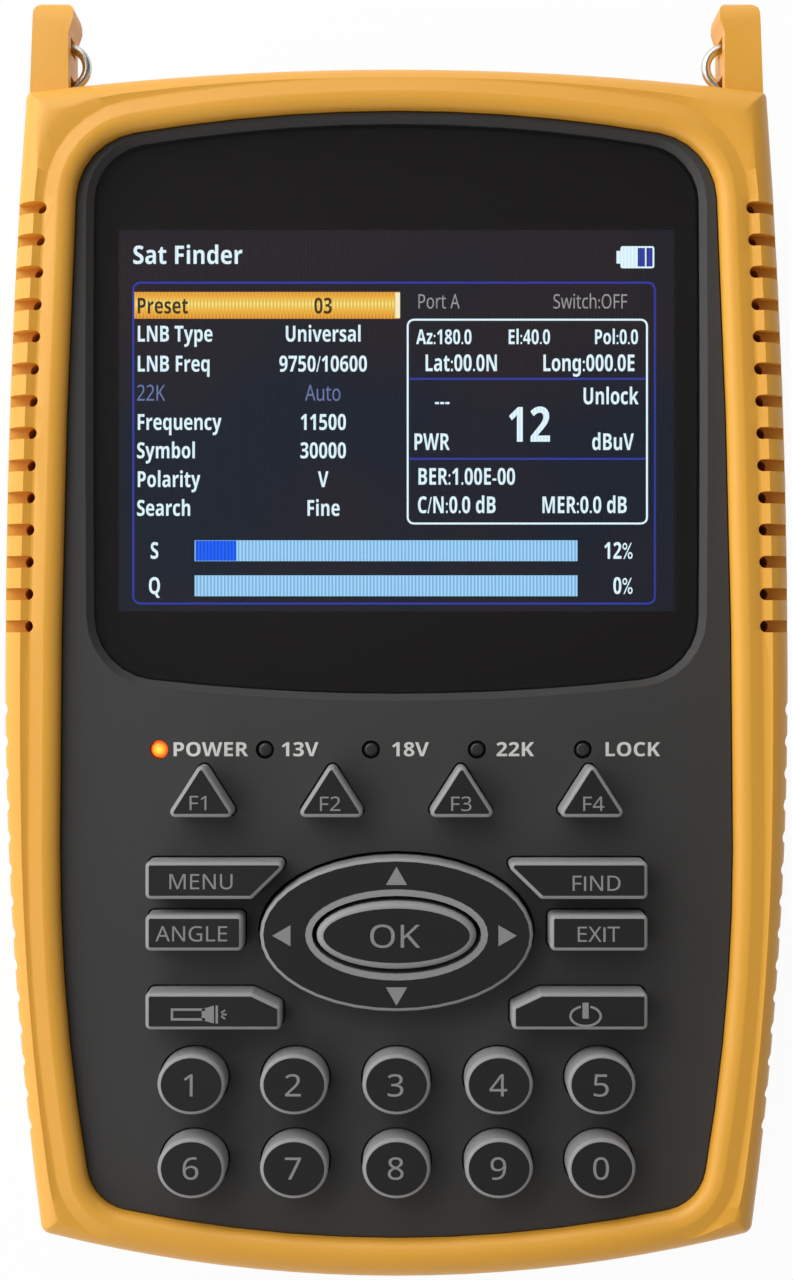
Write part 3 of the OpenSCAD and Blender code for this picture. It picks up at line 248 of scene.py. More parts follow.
merge_gap = 0.002 * mm
smooth_angle = math.radians(32)
smoothing = bpy.data.node_groups.new("smooth moulding", "GeometryNodeTree")
smoothing.interface.new_socket("Geometry", in_out="INPUT", socket_type="NodeSocketGeometry")
smoothing.interface.new_socket("Geometry", in_out="OUTPUT", socket_type="NodeSocketGeometry")
smooth_in = smoothing.nodes.new("NodeGroupInput")
smooth_out = smoothing.nodes.new("NodeGroupOutput")
smooth_bare = smoothing.nodes.new("GeometryNodeRemoveAttribute")
smooth_bare.inputs["Name"].default_value = "custom_normal"
smooth_weld = smoothing.nodes.new("GeometryNodeMergeByDistance")
smooth_weld.inputs["Distance"].default_value = merge_gap
smooth_faces = smoothing.nodes.new("GeometryNodeSetShadeSmooth")
smooth_faces.domain = "FACE"
smooth_edges = smoothing.nodes.new("GeometryNodeSetShadeSmooth")
smooth_edges.domain = "EDGE"
smooth_bend = smoothing.nodes.new("GeometryNodeInputMeshEdgeAngle")
smooth_test = smoothing.nodes.new("FunctionNodeCompare")
smooth_test.operation = "LESS_THAN"
smooth_test.inputs["B"].default_value = smooth_angle
link(smoothing, smooth_in, "Geometry", smooth_bare, "Geometry")
link(smoothing, smooth_bare, "Geometry", smooth_weld, "Geometry")
link(smoothing, smooth_weld, "Geometry", smooth_faces, "Geometry")
link(smoothing, smooth_faces, "Geometry", smooth_edges, "Geometry")
link(smoothing, smooth_bend, "Unsigned Angle", smooth_test, "A")
link(smoothing, smooth_test, "Result", smooth_edges, "Shade Smooth")
link(smoothing, smooth_edges, "Geometry", smooth_out, "Geometry")


def dress(material, *names):
    for name in names:
        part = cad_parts[name]
        for held in part.material_slots:
            held.material = material
        smooth = part.modifiers.new("smooth moulding", "NODES")
        smooth.node_group = smoothing


shell_yellow = moulded("yellow shell plastic", (0.78, 0.380, 0.043), 0.42, mottle=0.06)
dress(shell_yellow, "rear_shell")

# Battery bay: two wrapped cells between sprung nickel contacts, under a door held by two screws.
# The door is moulded with the shell's texture, and five shallow grooves across it give a thumb some grip.
nickel = moulded("nickel plate", (0.66, 0.64, 0.60), 0.24, grains=900, mottle=0.10, depth=0.01 * mm,
                 strength=0.2, metallic=1.0)
screw_steel = moulded("zinc plated steel", (0.42, 0.42, 0.43), 0.34, grains=1500, mottle=0.15,
                      depth=0.01 * mm, strength=0.25, metallic=1.0)
cell_wrap = moulded("cell wrap", (0.03, 0.16, 0.20), 0.35, grains=700, mottle=0.15, depth=0.02 * mm,
                    strength=0.2)
dress(shell_yellow, "battery_door")
dress(cell_wrap, "battery_cells")
dress(nickel, "battery_contacts")
dress(screw_steel, "door_screws", "case_screws", "board_screws")

# Main board: green glass fibre with gold pads under the keys, a tinned tuner can and a small buzzer.
# It is screwed to posts of the rear shell, behind the display.
board_green = moulded("solder mask", (0.015, 0.09, 0.035), 0.30, grains=3500, mottle=0.25, depth=0.02 * mm,
                      strength=0.3)
pad_gold = moulded("gold plate", (0.80, 0.55, 0.20), 0.28, grains=1500, mottle=0.10, depth=0.01 * mm,
                   strength=0.2, metallic=1.0)
tin = moulded("tinned steel", (0.55, 0.55, 0.54), 0.38, grains=600, mottle=0.20, depth=0.02 * mm,
              strength=0.25, metallic=1.0)
black_plastic = moulded("black plastic", (0.018, 0.018, 0.019), 0.42, grains=2600, mottle=0.2)
dress(board_green, "main_board")
dress(pad_gold, "contact_pads")
dress(tin, "tuner_can")
dress(black_plastic, "buzzer")


# Connector end: a black panel in the well at the top, with the aerial socket in the middle.
# Two jacks sit on its right and the torch on its left, each pushed through from inside.
def clear(name, colour, roughness, transmission, bend):
    material = bpy.data.materials.new(name)
    material.use_nodes = True
    shader = material.node_tree.nodes["Principled BSDF"]
    shader.inputs["Base Color"].default_value = (*colour, 1)
    shader.inputs["Roughness"].default_value = roughness
    shader.inputs["Transmission Weight"].default_value = transmission
    shader.inputs["IOR"].default_value = bend
    return material


white_plastic = moulded("white insulator", (0.72, 0.71, 0.68), 0.38, grains=1800, mottle=0.06)
torch_clear = clear("clear torch lens", (0.95, 0.96, 0.97), 0.08, 0.85, 1.49)
dress(black_plastic, "connector_panel", "av_jack", "dc_jack")
dress(nickel, "coax_washer", "coax_nut", "torch_bezel")
dress(white_plastic, "coax_insulator")
dress(torch_clear, "torch_lens")


# Aerial socket: a turned nickel tube with a flange behind the panel and a nut in front of it.
# Its outline is spun round the axis, and the thread is raised on it as a ridge that climbs with each turn.
def finish_piece(name, shape, material, body):
    bmesh.ops.recalc_face_normals(shape, faces=shape.faces)
    mesh = bpy.data.meshes.new(name)
    shape.to_mesh(mesh)
    shape.free()
    mesh.materials.append(material)
    piece = bpy.data.objects.new(name, mesh)
    scene.collection.objects.link(piece)
    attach(piece, body)
    return piece


thread_r = 4.7625 * mm
thread_pitch = 0.8 * mm
thread_deep = 0.35 * mm
thread_sides = 64
thread_steps = 8
neck_in = 0.1 * mm
neck_r = thread_r - neck_in
root_r = thread_r - thread_deep
bore_r = 3.4 * mm
lead_in = 0.4 * mm
flange_t = 1.8 * mm
socket_low, socket_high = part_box("coax_connector")
socket_mid = (socket_low + socket_high) / 2
flange_r = (socket_high.x - socket_low.x) / 2
panel_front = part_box("coax_washer")[0].y
panel_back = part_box("connector_panel")[0].y
flange_back = panel_back - flange_t
nut_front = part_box("coax_nut")[1].y
thread_end = socket_high.y - lead_in
thread_rows = round((thread_end - nut_front) / thread_pitch * thread_steps)
thread_foot = (nut_front, root_r)
outline = [(socket_low.y, neck_r), (flange_back, neck_r), (flange_back, flange_r), (panel_back, flange_r),
           (panel_back, neck_r), (nut_front, neck_r), thread_foot, (thread_end, root_r),
           (socket_high.y, root_r - lead_in / 2), (socket_high.y, bore_r), (panel_front, bore_r)]
socket = bmesh.new()
corners = [socket.verts.new((socket_mid.x + radius, y, socket_mid.z)) for y, radius in outline]
sides = [socket.edges.new(ends) for ends in zip(corners, corners[1:])]
threaded = sides[outline.index(thread_foot)]
bmesh.ops.subdivide_edges(socket, edges=[threaded], cuts=thread_rows - 1)
bmesh.ops.spin(socket, geom=socket.verts[:] + socket.edges[:], cent=socket_mid, axis=(0, 1, 0),
               angle=math.tau, steps=thread_sides, use_merge=True)
for v in socket.verts:
    out = v.co - socket_mid
    if abs(math.hypot(out.x, out.z) - root_r) < merge_gap:
        turn = math.atan2(out.z, out.x) / math.tau
        wave = ((v.co.y - nut_front) / thread_pitch - turn) % 1
        reach = 1 + thread_deep * (1 - abs(2 * wave - 1)) / root_r
        v.co.x = socket_mid.x + out.x * reach
        v.co.z = socket_mid.z + out.z * reach
bmesh.ops.edgeloop_fill(socket, edges=[e for e in socket.edges if e.is_boundary])
coax_socket = finish_piece("coax_socket", socket, nickel, "case")
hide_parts("coax_connector")

# Display: a liquid crystal module lit from behind, on the front of the main board.
# Its picture is drawn here as thin lit layers on the glass: frames, bars, words and numbers.
# Places in the picture, and of the legends below, are in millimetres from the middle of the case.
lcd_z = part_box("lcd_module")[1].z
lcd_black = moulded("display glass", (0.012, 0.013, 0.018), 0.25, grains=1200, mottle=0.2, depth=0.01 * mm,
                    strength=0.1)
dress(lcd_black, "lcd_module")
layer_t = 0.02 * mm
screen_half = 35.2
screen_y0 = 3.25
screen_y1 = 51.65
dot_pitch = 0.44 * mm
wave_rate = 20


def lit(name, colour, stripe=0.0, strength=1.0):
    material = bpy.data.materials.new(name)
    material.use_nodes = True
    tree = material.node_tree
    shader = tree.nodes["Principled BSDF"]
    shader.inputs["Base Color"].default_value = (0, 0, 0, 1)
    shader.inputs["Roughness"].default_value = 0.4
    shader.inputs["Specular IOR Level"].default_value = 0.05
    shader.inputs["Emission Strength"].default_value = strength
    place = tree.nodes.new("ShaderNodeTexCoord")
    columns = tree.nodes.new("ShaderNodeTexWave")
    columns.wave_type = "BANDS"
    columns.bands_direction = "X"
    columns.inputs["Scale"].default_value = math.tau / dot_pitch / wave_rate
    columns.inputs["Distortion"].default_value = 0
    blend = tree.nodes.new("ShaderNodeMix")
    blend.data_type = "RGBA"
    blend.inputs["A"].default_value = (*colour, 1)
    blend.inputs["B"].default_value = (*[c * (1 - stripe) for c in colour], 1)
    link(tree, place, "Object", columns, "Vector")
    link(tree, columns, "Fac", blend, "Factor")
    link(tree, blend, "Result", shader, "Emission Color")
    return material


def tone_ramp(tree, stops):
    ramp = tree.nodes.new("ShaderNodeValToRGB")
    tones = ramp.color_ramp.elements
    tones.remove(tones[1])
    tones[0].position = stops[0][0]
    tones[0].color = (*stops[0][1], 1)
    for place, colour in stops[1:]:
        tones.new(place).color = (*colour, 1)
    return ramp


def thicken(shape, rise):
    grown = bmesh.ops.extrude_face_region(shape, geom=shape.faces[:])
    lifted = [v for v in grown["geom"] if isinstance(v, bmesh.types.BMVert)]
    bmesh.ops.translate(shape, verts=lifted, vec=(0, 0, rise))


def tile(shape, x0, x1, y0, y1, z):
    made = bmesh.ops.create_cube(shape, size=1)["verts"]
    bmesh.ops.scale(shape, verts=made, vec=((x1 - x0) * mm, (y1 - y0) * mm, layer_t))
    bmesh.ops.translate(shape, verts=made, vec=((x0 + x1) / 2 * mm, (y0 + y1) / 2 * mm, z + layer_t / 2))
    return made


corner_steps = 5


def outlined(shape, x0, x1, y0, y1, z, line, corner):
    box = bmesh.new()
    bmesh.ops.create_grid(box, x_segments=1, y_segments=1, size=mm / 2)
    bmesh.ops.scale(box, verts=box.verts, vec=(x1 - x0, y1 - y0, 1))
    bmesh.ops.translate(box, verts=box.verts, vec=((x0 + x1) / 2 * mm, (y0 + y1) / 2 * mm, z))
    bmesh.ops.bevel(box, geom=box.verts[:], affect="VERTICES", offset=corner * mm, segments=corner_steps,
                    profile=0.5, material=-1)
    inside = box.faces[:]
    bmesh.ops.inset_region(box, faces=inside, thickness=line * mm, use_even_offset=True, use_boundary=True)
    bmesh.ops.delete(box, geom=inside, context="FACES")
    thicken(box, layer_t)
    drawn = bpy.data.meshes.new("outline")
    box.to_mesh(drawn)
    box.free()
    shape.from_mesh(drawn)
    bpy.data.meshes.remove(drawn)


cap_share = 0.714
letter_steps = 3
plain_starts = {"A": 0x1D5A0, "a": 0x1D5BA, "0": 0x1D7E2}
bold_starts = {"A": 0x1D5D4, "a": 0x1D5EE, "0": 0x1D7EC}


def sans(words, starts):
    drawn = ""
    for sign in words:
        first = None
        if "A" <= sign <= "Z" and sign != "I":
            first = "A"
        if "a" <= sign <= "z":
            first = "a"
        if "0" <= sign <= "9":
            first = "0"
        drawn += chr(starts[first] + ord(sign) - ord(first)) if first else sign
    return drawn


def lettered(shape, words, height, x, y, z, align="CENTER", squeeze=1.0, starts=plain_starts):
    script = bpy.data.curves.new("lettering", "FONT")
    script.body = sans(words, starts)
    script.align_x = align
    script.size = height * mm / cap_share
    script.extrude = layer_t / 2
    script.resolution_u = letter_steps
    holder = bpy.data.objects.new("lettering", script)
    scene.collection.objects.link(holder)
    bpy.context.view_layer.update()
    drawn = bpy.data.meshes.new_from_object(holder.evaluated_get(bpy.context.evaluated_depsgraph_get()))
    shift = Matrix.Translation((x * mm, (y - height / 2) * mm, z + layer_t / 2))
    drawn.transform(shift @ Matrix.Diagonal((squeeze, 1, 1, 1)))
    shape.from_mesh(drawn)
    bpy.data.meshes.remove(drawn)
    bpy.data.objects.remove(holder)
    bpy.data.curves.remove(script)


glow_dark = lit("dark picture", (0.010, 0.011, 0.018), stripe=0.15)
glow_white = lit("white dots", (0.74, 0.92, 1.0), stripe=0.15, strength=1.15)
glow_blue = lit("blue lines", (0.035, 0.050, 0.46), stripe=0.3)
glow_pale = lit("pale blue bar", (0.33, 0.66, 1.0), stripe=0.45, strength=1.2)
glow_fill = lit("deep blue bar", (0.005, 0.12, 1.0), stripe=0.45, strength=1.2)
glow_dim = lit("dim blue words", (0.16, 0.22, 0.46), stripe=0.2)
glow_grey = lit("grey words", (0.36, 0.37, 0.36), stripe=0.2)
glow_end = lit("bright end", (1.0, 0.93, 0.62))
ink_dark = lit("dark words", (0.055, 0.030, 0.012), stripe=0.1)

ground_scale = 30
ground_detail = 2
ground_tree = glow_dark.node_tree
ground_cloud = ground_tree.nodes.new("ShaderNodeTexNoise")
ground_cloud.inputs["Scale"].default_value = ground_scale
ground_cloud.inputs["Detail"].default_value = ground_detail
ground_ramp = tone_ramp(ground_tree, [(0.4, (0.001, 0.010, 0.028)), (0.62, (0.022, 0.012, 0.015))])
link(ground_tree, ground_tree.nodes["Texture Coordinate"], "Object", ground_cloud, "Vector")
link(ground_tree, ground_cloud, 0, ground_ramp, "Fac")
link(ground_tree, ground_ramp, "Color", ground_tree.nodes["Mix"], "A")
ground = bmesh.new()
tile(ground, -screen_half, screen_half, screen_y0, screen_y1, lcd_z)
finish_piece("screen_ground", ground, glow_dark, "case")
layer_step = 1.5 * layer_t
line_z = lcd_z + layer_step
word_z = line_z + layer_step

frame_x0 = -33.5
frame_x1 = 32.9
frame_y0 = 4.15
frame_y1 = 45.1
frame_corner = 1.0
line_w = 0.25
rule_x0 = 1.6
rule_x1 = 31.6
rule_places = [32.65, 22.5]
frames = bmesh.new()
outlined(frames, frame_x0, frame_x1, frame_y0, frame_y1, line_z, line_w, frame_corner)
for y in rule_places:
    tile(frames, rule_x0, rule_x1, y, y + line_w, line_z)
finish_piece("screen_frames", frames, glow_blue, "case")

bar_x0 = -25.6
bar_x1 = 22.95
bar_tall = 2.65
strength_y = 9.65
quality_y = 5.2
bars = bmesh.new()
for y in (strength_y, quality_y):
    tile(bars, bar_x0, bar_x1, y, y + bar_tall, line_z)
finish_piece("screen_bars", bars, glow_pale, "case")
fill_x0 = -25.5
fill_x1 = -20.3
fill_in = 0.05
filled = bmesh.new()
tile(filled, fill_x0, fill_x1, strength_y + fill_in, strength_y + bar_tall - fill_in, word_z)
finish_piece("screen_bar_fill", filled, glow_fill, "case")

chosen_x1 = 0.45
chosen_y0 = 40.4
chosen_y1 = 43.8
chosen_end = 0.6
chosen_in = 0.1
chosen_tones = [(0.0, (0.66, 0.15, 0.010)), (0.30, (0.96, 0.50, 0.05)), (0.55, (1.0, 0.95, 0.30)),
                (0.80, (0.96, 0.45, 0.05)), (1.0, (0.72, 0.20, 0.02))]
chosen = lit("chosen row", (1.0, 0.55, 0.06), stripe=0.15)
chosen_tree = chosen.node_tree
chosen_axes = chosen_tree.nodes.new("ShaderNodeSeparateXYZ")
chosen_across = chosen_tree.nodes.new("ShaderNodeMapRange")
chosen_across.inputs["From Min"].default_value = chosen_y0 * mm
chosen_across.inputs["From Max"].default_value = chosen_y1 * mm
chosen_ramp = tone_ramp(chosen_tree, chosen_tones)
link(chosen_tree, chosen_tree.nodes["Texture Coordinate"], "Object", chosen_axes, "Vector")
link(chosen_tree, chosen_axes, "Y", chosen_across, "Value")
link(chosen_tree, chosen_across, "Result", chosen_ramp, "Fac")
link(chosen_tree, chosen_ramp, "Color", chosen_tree.nodes["Mix"], "A")
row_bar = bmesh.new()
tile(row_bar, frame_x0, chosen_x1, chosen_y0, chosen_y1, line_z)
finish_piece("screen_chosen_row", row_bar, chosen, "case")
row_end = bmesh.new()
tile(row_end, chosen_x1 - chosen_end, chosen_x1, chosen_y0 + chosen_in, chosen_y1 - chosen_in, word_z)
finish_piece("screen_chosen_end", row_end, glow_end, "case")

row_height = 2.0
row_slim = 0.74
label_x = -33.0
value_x = -9.3
rows = [(42.05, "Preset", "03"), (38.5, "LNB Type", "Universal"), (34.7, "LNB Freq", "9750/10600"),
        (31.0, "22K", "Auto"), (27.3, "Frequency", "11500"), (23.7, "Symbol", "30000"),
        (20.05, "Polarity", "V"), (16.4, "Search", "Fine")]
dark_words = bmesh.new()
dim_words = bmesh.new()
white_words = bmesh.new()
for y, label, value in rows:
    shape = white_words
    starts = bold_starts
    if label == "Preset":
        shape = dark_words
    if label == "22K":
        shape = dim_words
        starts = plain_starts
    lettered(shape, label, row_height, label_x, y, word_z, "LEFT", row_slim, starts)
    lettered(shape, value, row_height, value_x, y, word_z, "CENTER", row_slim, starts)

title_height = 2.3
title_y = 48.5
title_slim = 0.86
lettered(white_words, "Sat Finder", title_height, frame_x0, title_y, word_z, "LEFT", title_slim, bold_starts)
low_height = 1.85
box_height = 2.1
box_slim = 0.70
box_words = [("Az:180.0", low_height, 2.5, 38.1, "LEFT"), ("El:40.0", low_height, 16.8, 38.1, "CENTER"),
             ("Pol:0.0", low_height, 30.7, 38.1, "RIGHT"), ("Lat:00.0N", box_height, 3.5, 34.8, "LEFT"),
             ("Long:000.0E", box_height, 30.3, 34.8, "RIGHT"), ("---", box_height, 5.8, 30.1, "CENTER"),
             ("Unlock", box_height, 30.7, 30.6, "RIGHT"), ("PWR", box_height, 2.1, 24.8, "LEFT"),
             ("dBuV", box_height, 30.1, 24.8, "RIGHT"), ("BER:1.00E-00", box_height, 2.6, 20.4, "LEFT"),
             ("C/N:0.0 dB", box_height, 2.6, 16.8, "LEFT"), ("MER:0.0 dB", box_height, 29.3, 16.8, "RIGHT"),
             ("S", box_height, -30.7, 11.0, "CENTER"), ("Q", box_height, -30.7, 6.55, "CENTER"),
             ("12%", box_height, 30.0, 11.0, "RIGHT"), ("0%", box_height, 30.0, 6.55, "RIGHT")]
for words, height, x, y, align in box_words:
    lettered(white_words, words, height, x, y, word_z, align, box_slim, bold_starts)
reading_height = 4.4
reading_x = 16.8
reading_y = 27.0
reading_slim = 0.80
lettered(white_words, "12", reading_height, reading_x, reading_y, word_z, "CENTER", reading_slim, bold_starts)
finish_piece("screen_words", white_words, glow_white, "case")
finish_piece("screen_chosen_words", dark_words, ink_dark, "case")
finish_piece("screen_dim_words", dim_words, glow_dim, "case")

grey_height = 1.8
grey_y = 42.6
port_x = 2.6
switch_x = 29.3
grey_words = bmesh.new()
lettered(grey_words, "Port A", grey_height, port_x, grey_y, word_z, "LEFT", row_slim)
lettered(grey_words, "Switch:OFF", grey_height, switch_x, grey_y, word_z, "RIGHT", row_slim)
finish_piece("screen_grey_words", grey_words, glow_grey, "case")

box_x0 = 1.3
box_x1 = 31.9
box_y0 = 14.3
box_y1 = 40.4
box_corner = 0.9
charge_x0 = 28.4
charge_x1 = 32.7
charge_y0 = 46.8
charge_y1 = 49.6
charge_line = 0.22
charge_corner = 0.3
nub_w = 0.5
nub_in = 0.6
white_in = 0.1
white_cells = [(28.5, 30.6), (31.5, 31.7)]
blue_in = 0.25
blue_cells = [(30.7, 31.4), (31.8, 32.4)]
signs = bmesh.new()
outlined(signs, box_x0, box_x1, box_y0, box_y1, line_z, line_w, box_corner)
outlined(signs, charge_x0, charge_x1, charge_y0, charge_y1, line_z, charge_line, charge_corner)
tile(signs, charge_x0 - nub_w, charge_x0, charge_y0 + nub_in, charge_y1 - nub_in, line_z)
for x0, x1 in white_cells:
    tile(signs, x0, x1, charge_y0 + white_in, charge_y1 - white_in, word_z)
finish_piece("screen_signs", signs, glow_white, "case")
stripes = bmesh.new()
for x0, x1 in blue_cells:
    tile(stripes, x0, x1, charge_y0 + blue_in, charge_y1 - blue_in, word_z)
finish_piece("screen_stripes", stripes, glow_blue, "case")

# Face panel: a dark grey moulded plate with a sunk seat for the lens and a hole for each key and lamp.
# A foam gasket under it keeps dust off the display, and white lamp names are printed on it.
face_grey = moulded("dark face plastic", (0.030, 0.0295, 0.029), 0.62, grains=3200, mottle=0.18, strength=0.4)
gasket_foam = moulded("black foam", (0.02, 0.02, 0.02), 0.9, grains=1500, mottle=0.3, depth=0.1 * mm,
                      strength=0.6)
dress(face_grey, "face_panel")
dress(gasket_foam, "lcd_gasket")


def printed(name, colour, roughness=0.5):
    material = moulded(name, colour, roughness, grains=3000, mottle=0.10, depth=0.01 * mm, strength=0.2)
    material.node_tree.nodes["Principled BSDF"].inputs["Specular IOR Level"].default_value = 0.35
    return material


ink_white = printed("white ink", (0.62, 0.62, 0.61))
lamp_names = [("POWER", -28.1), ("13V", -14.5), ("18V", -0.7), ("22K", 12.4), ("LOCK", 25.9)]
name_height = 1.75
name_y = -14.0
name_spread = 1.08
names = bmesh.new()
for words, x in lamp_names:
    lettered(names, words, name_height, x, name_y, face_z, "LEFT", name_spread, bold_starts)
finish_piece("lamp_names", names, ink_white, "case")

# Status lamps: five small domes behind the face, of which the first is lit while the meter is on.
# They are clear epoxy, so the four that are off look dark.
lamp_split_x = -26.0 * mm
lit_lamp_x = -29.7 * mm
lamp_low, lamp_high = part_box("status_leds")
lamp_y = (lamp_low.y + lamp_high.y) / 2
lamp_reach = 1.05 * mm
lamp_tones = [(0.0, (1.0, 0.72, 0.10)), (0.45, (1.0, 0.42, 0.03)), (1.0, (0.85, 0.07, 0.004))]
lamp = bpy.data.materials.new("status lamp")
lamp.use_nodes = True
lamp_tree = lamp.node_tree
lamp_shader = lamp_tree.nodes["Principled BSDF"]
lamp_shader.inputs["Roughness"].default_value = 0.25
lamp_shader.inputs["Emission Strength"].default_value = 1.3
lamp_place = lamp_tree.nodes.new("ShaderNodeTexCoord")
lamp_axes = lamp_tree.nodes.new("ShaderNodeSeparateXYZ")
lamp_first = maths(lamp_tree, "LESS_THAN", lamp_split_x)
lamp_off_axis = lamp_tree.nodes.new("ShaderNodeVectorMath")
lamp_off_axis.operation = "DISTANCE"
lamp_off_axis.inputs[1].default_value = (lit_lamp_x, lamp_y, lamp_high.z)
lamp_share = maths(lamp_tree, "DIVIDE", lamp_reach)
lamp_ramp = tone_ramp(lamp_tree, lamp_tones)
lamp_glow = lamp_tree.nodes.new("ShaderNodeMix")
lamp_glow.data_type = "RGBA"
lamp_glow.inputs["A"].default_value = (0, 0, 0, 1)
lamp_body = lamp_tree.nodes.new("ShaderNodeMix")
lamp_body.data_type = "RGBA"
lamp_body.inputs["A"].default_value = (0.03, 0.03, 0.032, 1)
lamp_body.inputs["B"].default_value = (0.5, 0.06, 0.01, 1)
link(lamp_tree, lamp_place, "Object", lamp_axes, "Vector")
link(lamp_tree, lamp_place, "Object", lamp_off_axis, 0)
link(lamp_tree, lamp_axes, "X", lamp_first, 0)
link(lamp_tree, lamp_off_axis, "Value", lamp_share, 0)
link(lamp_tree, lamp_share, 0, lamp_ramp, "Fac")
link(lamp_tree, lamp_ramp, "Color", lamp_glow, "B")
link(lamp_tree, lamp_first, 0, lamp_glow, "Factor")
link(lamp_tree, lamp_first, 0, lamp_body, "Factor")
link(lamp_tree, lamp_glow, "Result", lamp_shader, "Emission Color")
link(lamp_tree, lamp_body, "Result", lamp_shader, "Base Color")
dress(lamp, "status_leds")

# Keys: grey translucent silicone caps on one mat, each with a black printed top.
# The legend is left bare in the print, so the grey rubber shows through it, and so does a rim round it.
key_rubber = moulded("grey silicone", (0.27, 0.27, 0.275), 0.50, grains=2600, mottle=0.10, depth=0.03 * mm,
                     strength=0.3)
rubber_shader = key_rubber.node_tree.nodes["Principled BSDF"]
rubber_shader.inputs["Subsurface Weight"].default_value = 0.12
rubber_shader.inputs["Subsurface Radius"].default_value = (0.6 * mm, 0.6 * mm, 0.6 * mm)
key_ink = printed("black key ink", (0.014, 0.014, 0.015), 0.42)
legend_grey = printed("bare legend", (0.24, 0.24, 0.24))
dress(key_rubber, "keypad_mat", "rocker_carrier")
print_t = 0.03 * mm
corner_weld = 0.12 * mm
hole_share = 0.8


def top_print(key, rim, drop, inner_rim=0.0):
    skin = bmesh.new()
    skin.from_mesh(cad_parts[key].data)
    bmesh.ops.remove_doubles(skin, verts=skin.verts, dist=merge_gap)
    low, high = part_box(key)
    flat = {f for f in skin.faces if all(v.co.z > high.z - drop for v in f.verts)}
    bmesh.ops.delete(skin, geom=[f for f in skin.faces if f not in flat], context="FACES")
    bmesh.ops.remove_doubles(skin, verts=skin.verts, dist=corner_weld)
    edge = bmesh.ops.inset_region(skin, faces=skin.faces[:], thickness=rim, use_even_offset=True,
                                  use_boundary=True)
    bmesh.ops.delete(skin, geom=edge["faces"], context="FACES")
    centre = (low + high) / 2
    half = (high - low) / 2
    hole = []
    for v in skin.verts:
        if math.hypot((v.co.x - centre.x) / half.x, (v.co.y - centre.y) / half.y) < hole_share:
            hole.append(v)
    if inner_rim and hole:
        wide = max(abs(v.co.x - centre.x) for v in hole)
        tall = max(abs(v.co.y - centre.y) for v in hole)
        spread = (1 + inner_rim / wide, 1 + inner_rim / tall, 1)
        bmesh.ops.scale(skin, verts=hole, vec=spread, space=Matrix.Translation((-centre.x, -centre.y, 0)))
    thicken(skin, print_t)
    finish_piece(key + "_print", skin, key_ink, key)
    return high.z + print_t


rim_w = 0.22 * mm
edge_drop = 0.08 * mm
legend_spread = 1.08
function_height = 1.75
word_height = 1.85
digit_height = 2.7
digit_pitch = 12.6
digit_shift = -0.1
middle_column = 2
digit_rows = [("12345", -55.0), ("67890", -65.2)]
word_keys = [("key_f1", "F1", -24.2, -20.35, function_height),
             ("key_f2", "F2", -8.2, -20.45, function_height),
             ("key_f3", "F3", 7.9, -20.45, function_height),
             ("key_f4", "F4", 24.1, -20.45, function_height),
             ("key_menu", "MENU", -24.0, -30.0, word_height),
             ("key_find", "FIND", 24.5, -30.2, word_height),
             ("key_angle", "ANGLE", -25.1, -36.4, word_height),
             ("key_exit", "EXIT", 24.7, -36.45, word_height)]
for digits, y in digit_rows:
    for column, digit in enumerate(digits):
        x = (column - middle_column) * digit_pitch + digit_shift
        word_keys.append(("key_" + digit, digit, x, y, digit_height))
for key, words, x, y, height in word_keys:
    dress(key_rubber, key)
    ink_top = top_print(key, rim_w, edge_drop)
    legend = bmesh.new()
    lettered(legend, words, height, x, y, ink_top, "CENTER", legend_spread)
    finish_piece(key + "_legend", legend, legend_grey, key)

# Torch and power keys: the same silicone caps, with a lamp sign and a power sign in place of words.
# Each sign is drawn from flat strips as thick as the printed letters.
dress(key_rubber, "key_torch", "key_power")
torch_top = top_print("key_torch", rim_w, edge_drop)
torch_x = -24.4
torch_y = -46.3
stroke = 0.3
tube_x0 = torch_x - 3.3
tube_x1 = torch_x + 0.9
tube_y0 = torch_y - 0.75
tube_y1 = torch_y + 0.75
head_x0 = torch_x + 0.5
head_x1 = torch_x + 2.0
head_y0 = torch_y - 1.1
head_y1 = torch_y + 1.1
head_taper = 0.6
glass_x0 = torch_x + 2.2
ray_x = torch_x + 2.6
ray_near = 0.35
ray_far = 0.95
ray_half = 0.1
ray_turns = (-35, 0, 35)
sign = bmesh.new()
tile(sign, tube_x0, tube_x1, tube_y1 - stroke, tube_y1, torch_top)
tile(sign, tube_x0, tube_x1, tube_y0, tube_y0 + stroke, torch_top)
tile(sign, tube_x0, tube_x0 + stroke, tube_y0 + stroke, tube_y1 - stroke, torch_top)
tile(sign, glass_x0, glass_x0 + stroke, head_y0, head_y1, torch_top)
head = tile(sign, head_x0, head_x1, head_y0, head_y1, torch_top)
narrow = [v for v in head if v.co.x < (head_x0 + head_x1) / 2 * mm]
bmesh.ops.scale(sign, verts=narrow, vec=(1, head_taper, 1), space=Matrix.Translation((0, -torch_y * mm, 0)))
for turn in ray_turns:
    ray = tile(sign, ray_near, ray_far, -ray_half, ray_half, torch_top)
    spot = Matrix.Translation((ray_x * mm, torch_y * mm, 0))
    bmesh.ops.transform(sign, matrix=spot @ Matrix.Rotation(math.radians(turn), 4, "Z"), verts=ray)
finish_piece("key_torch_sign", sign, legend_grey, "key_torch")

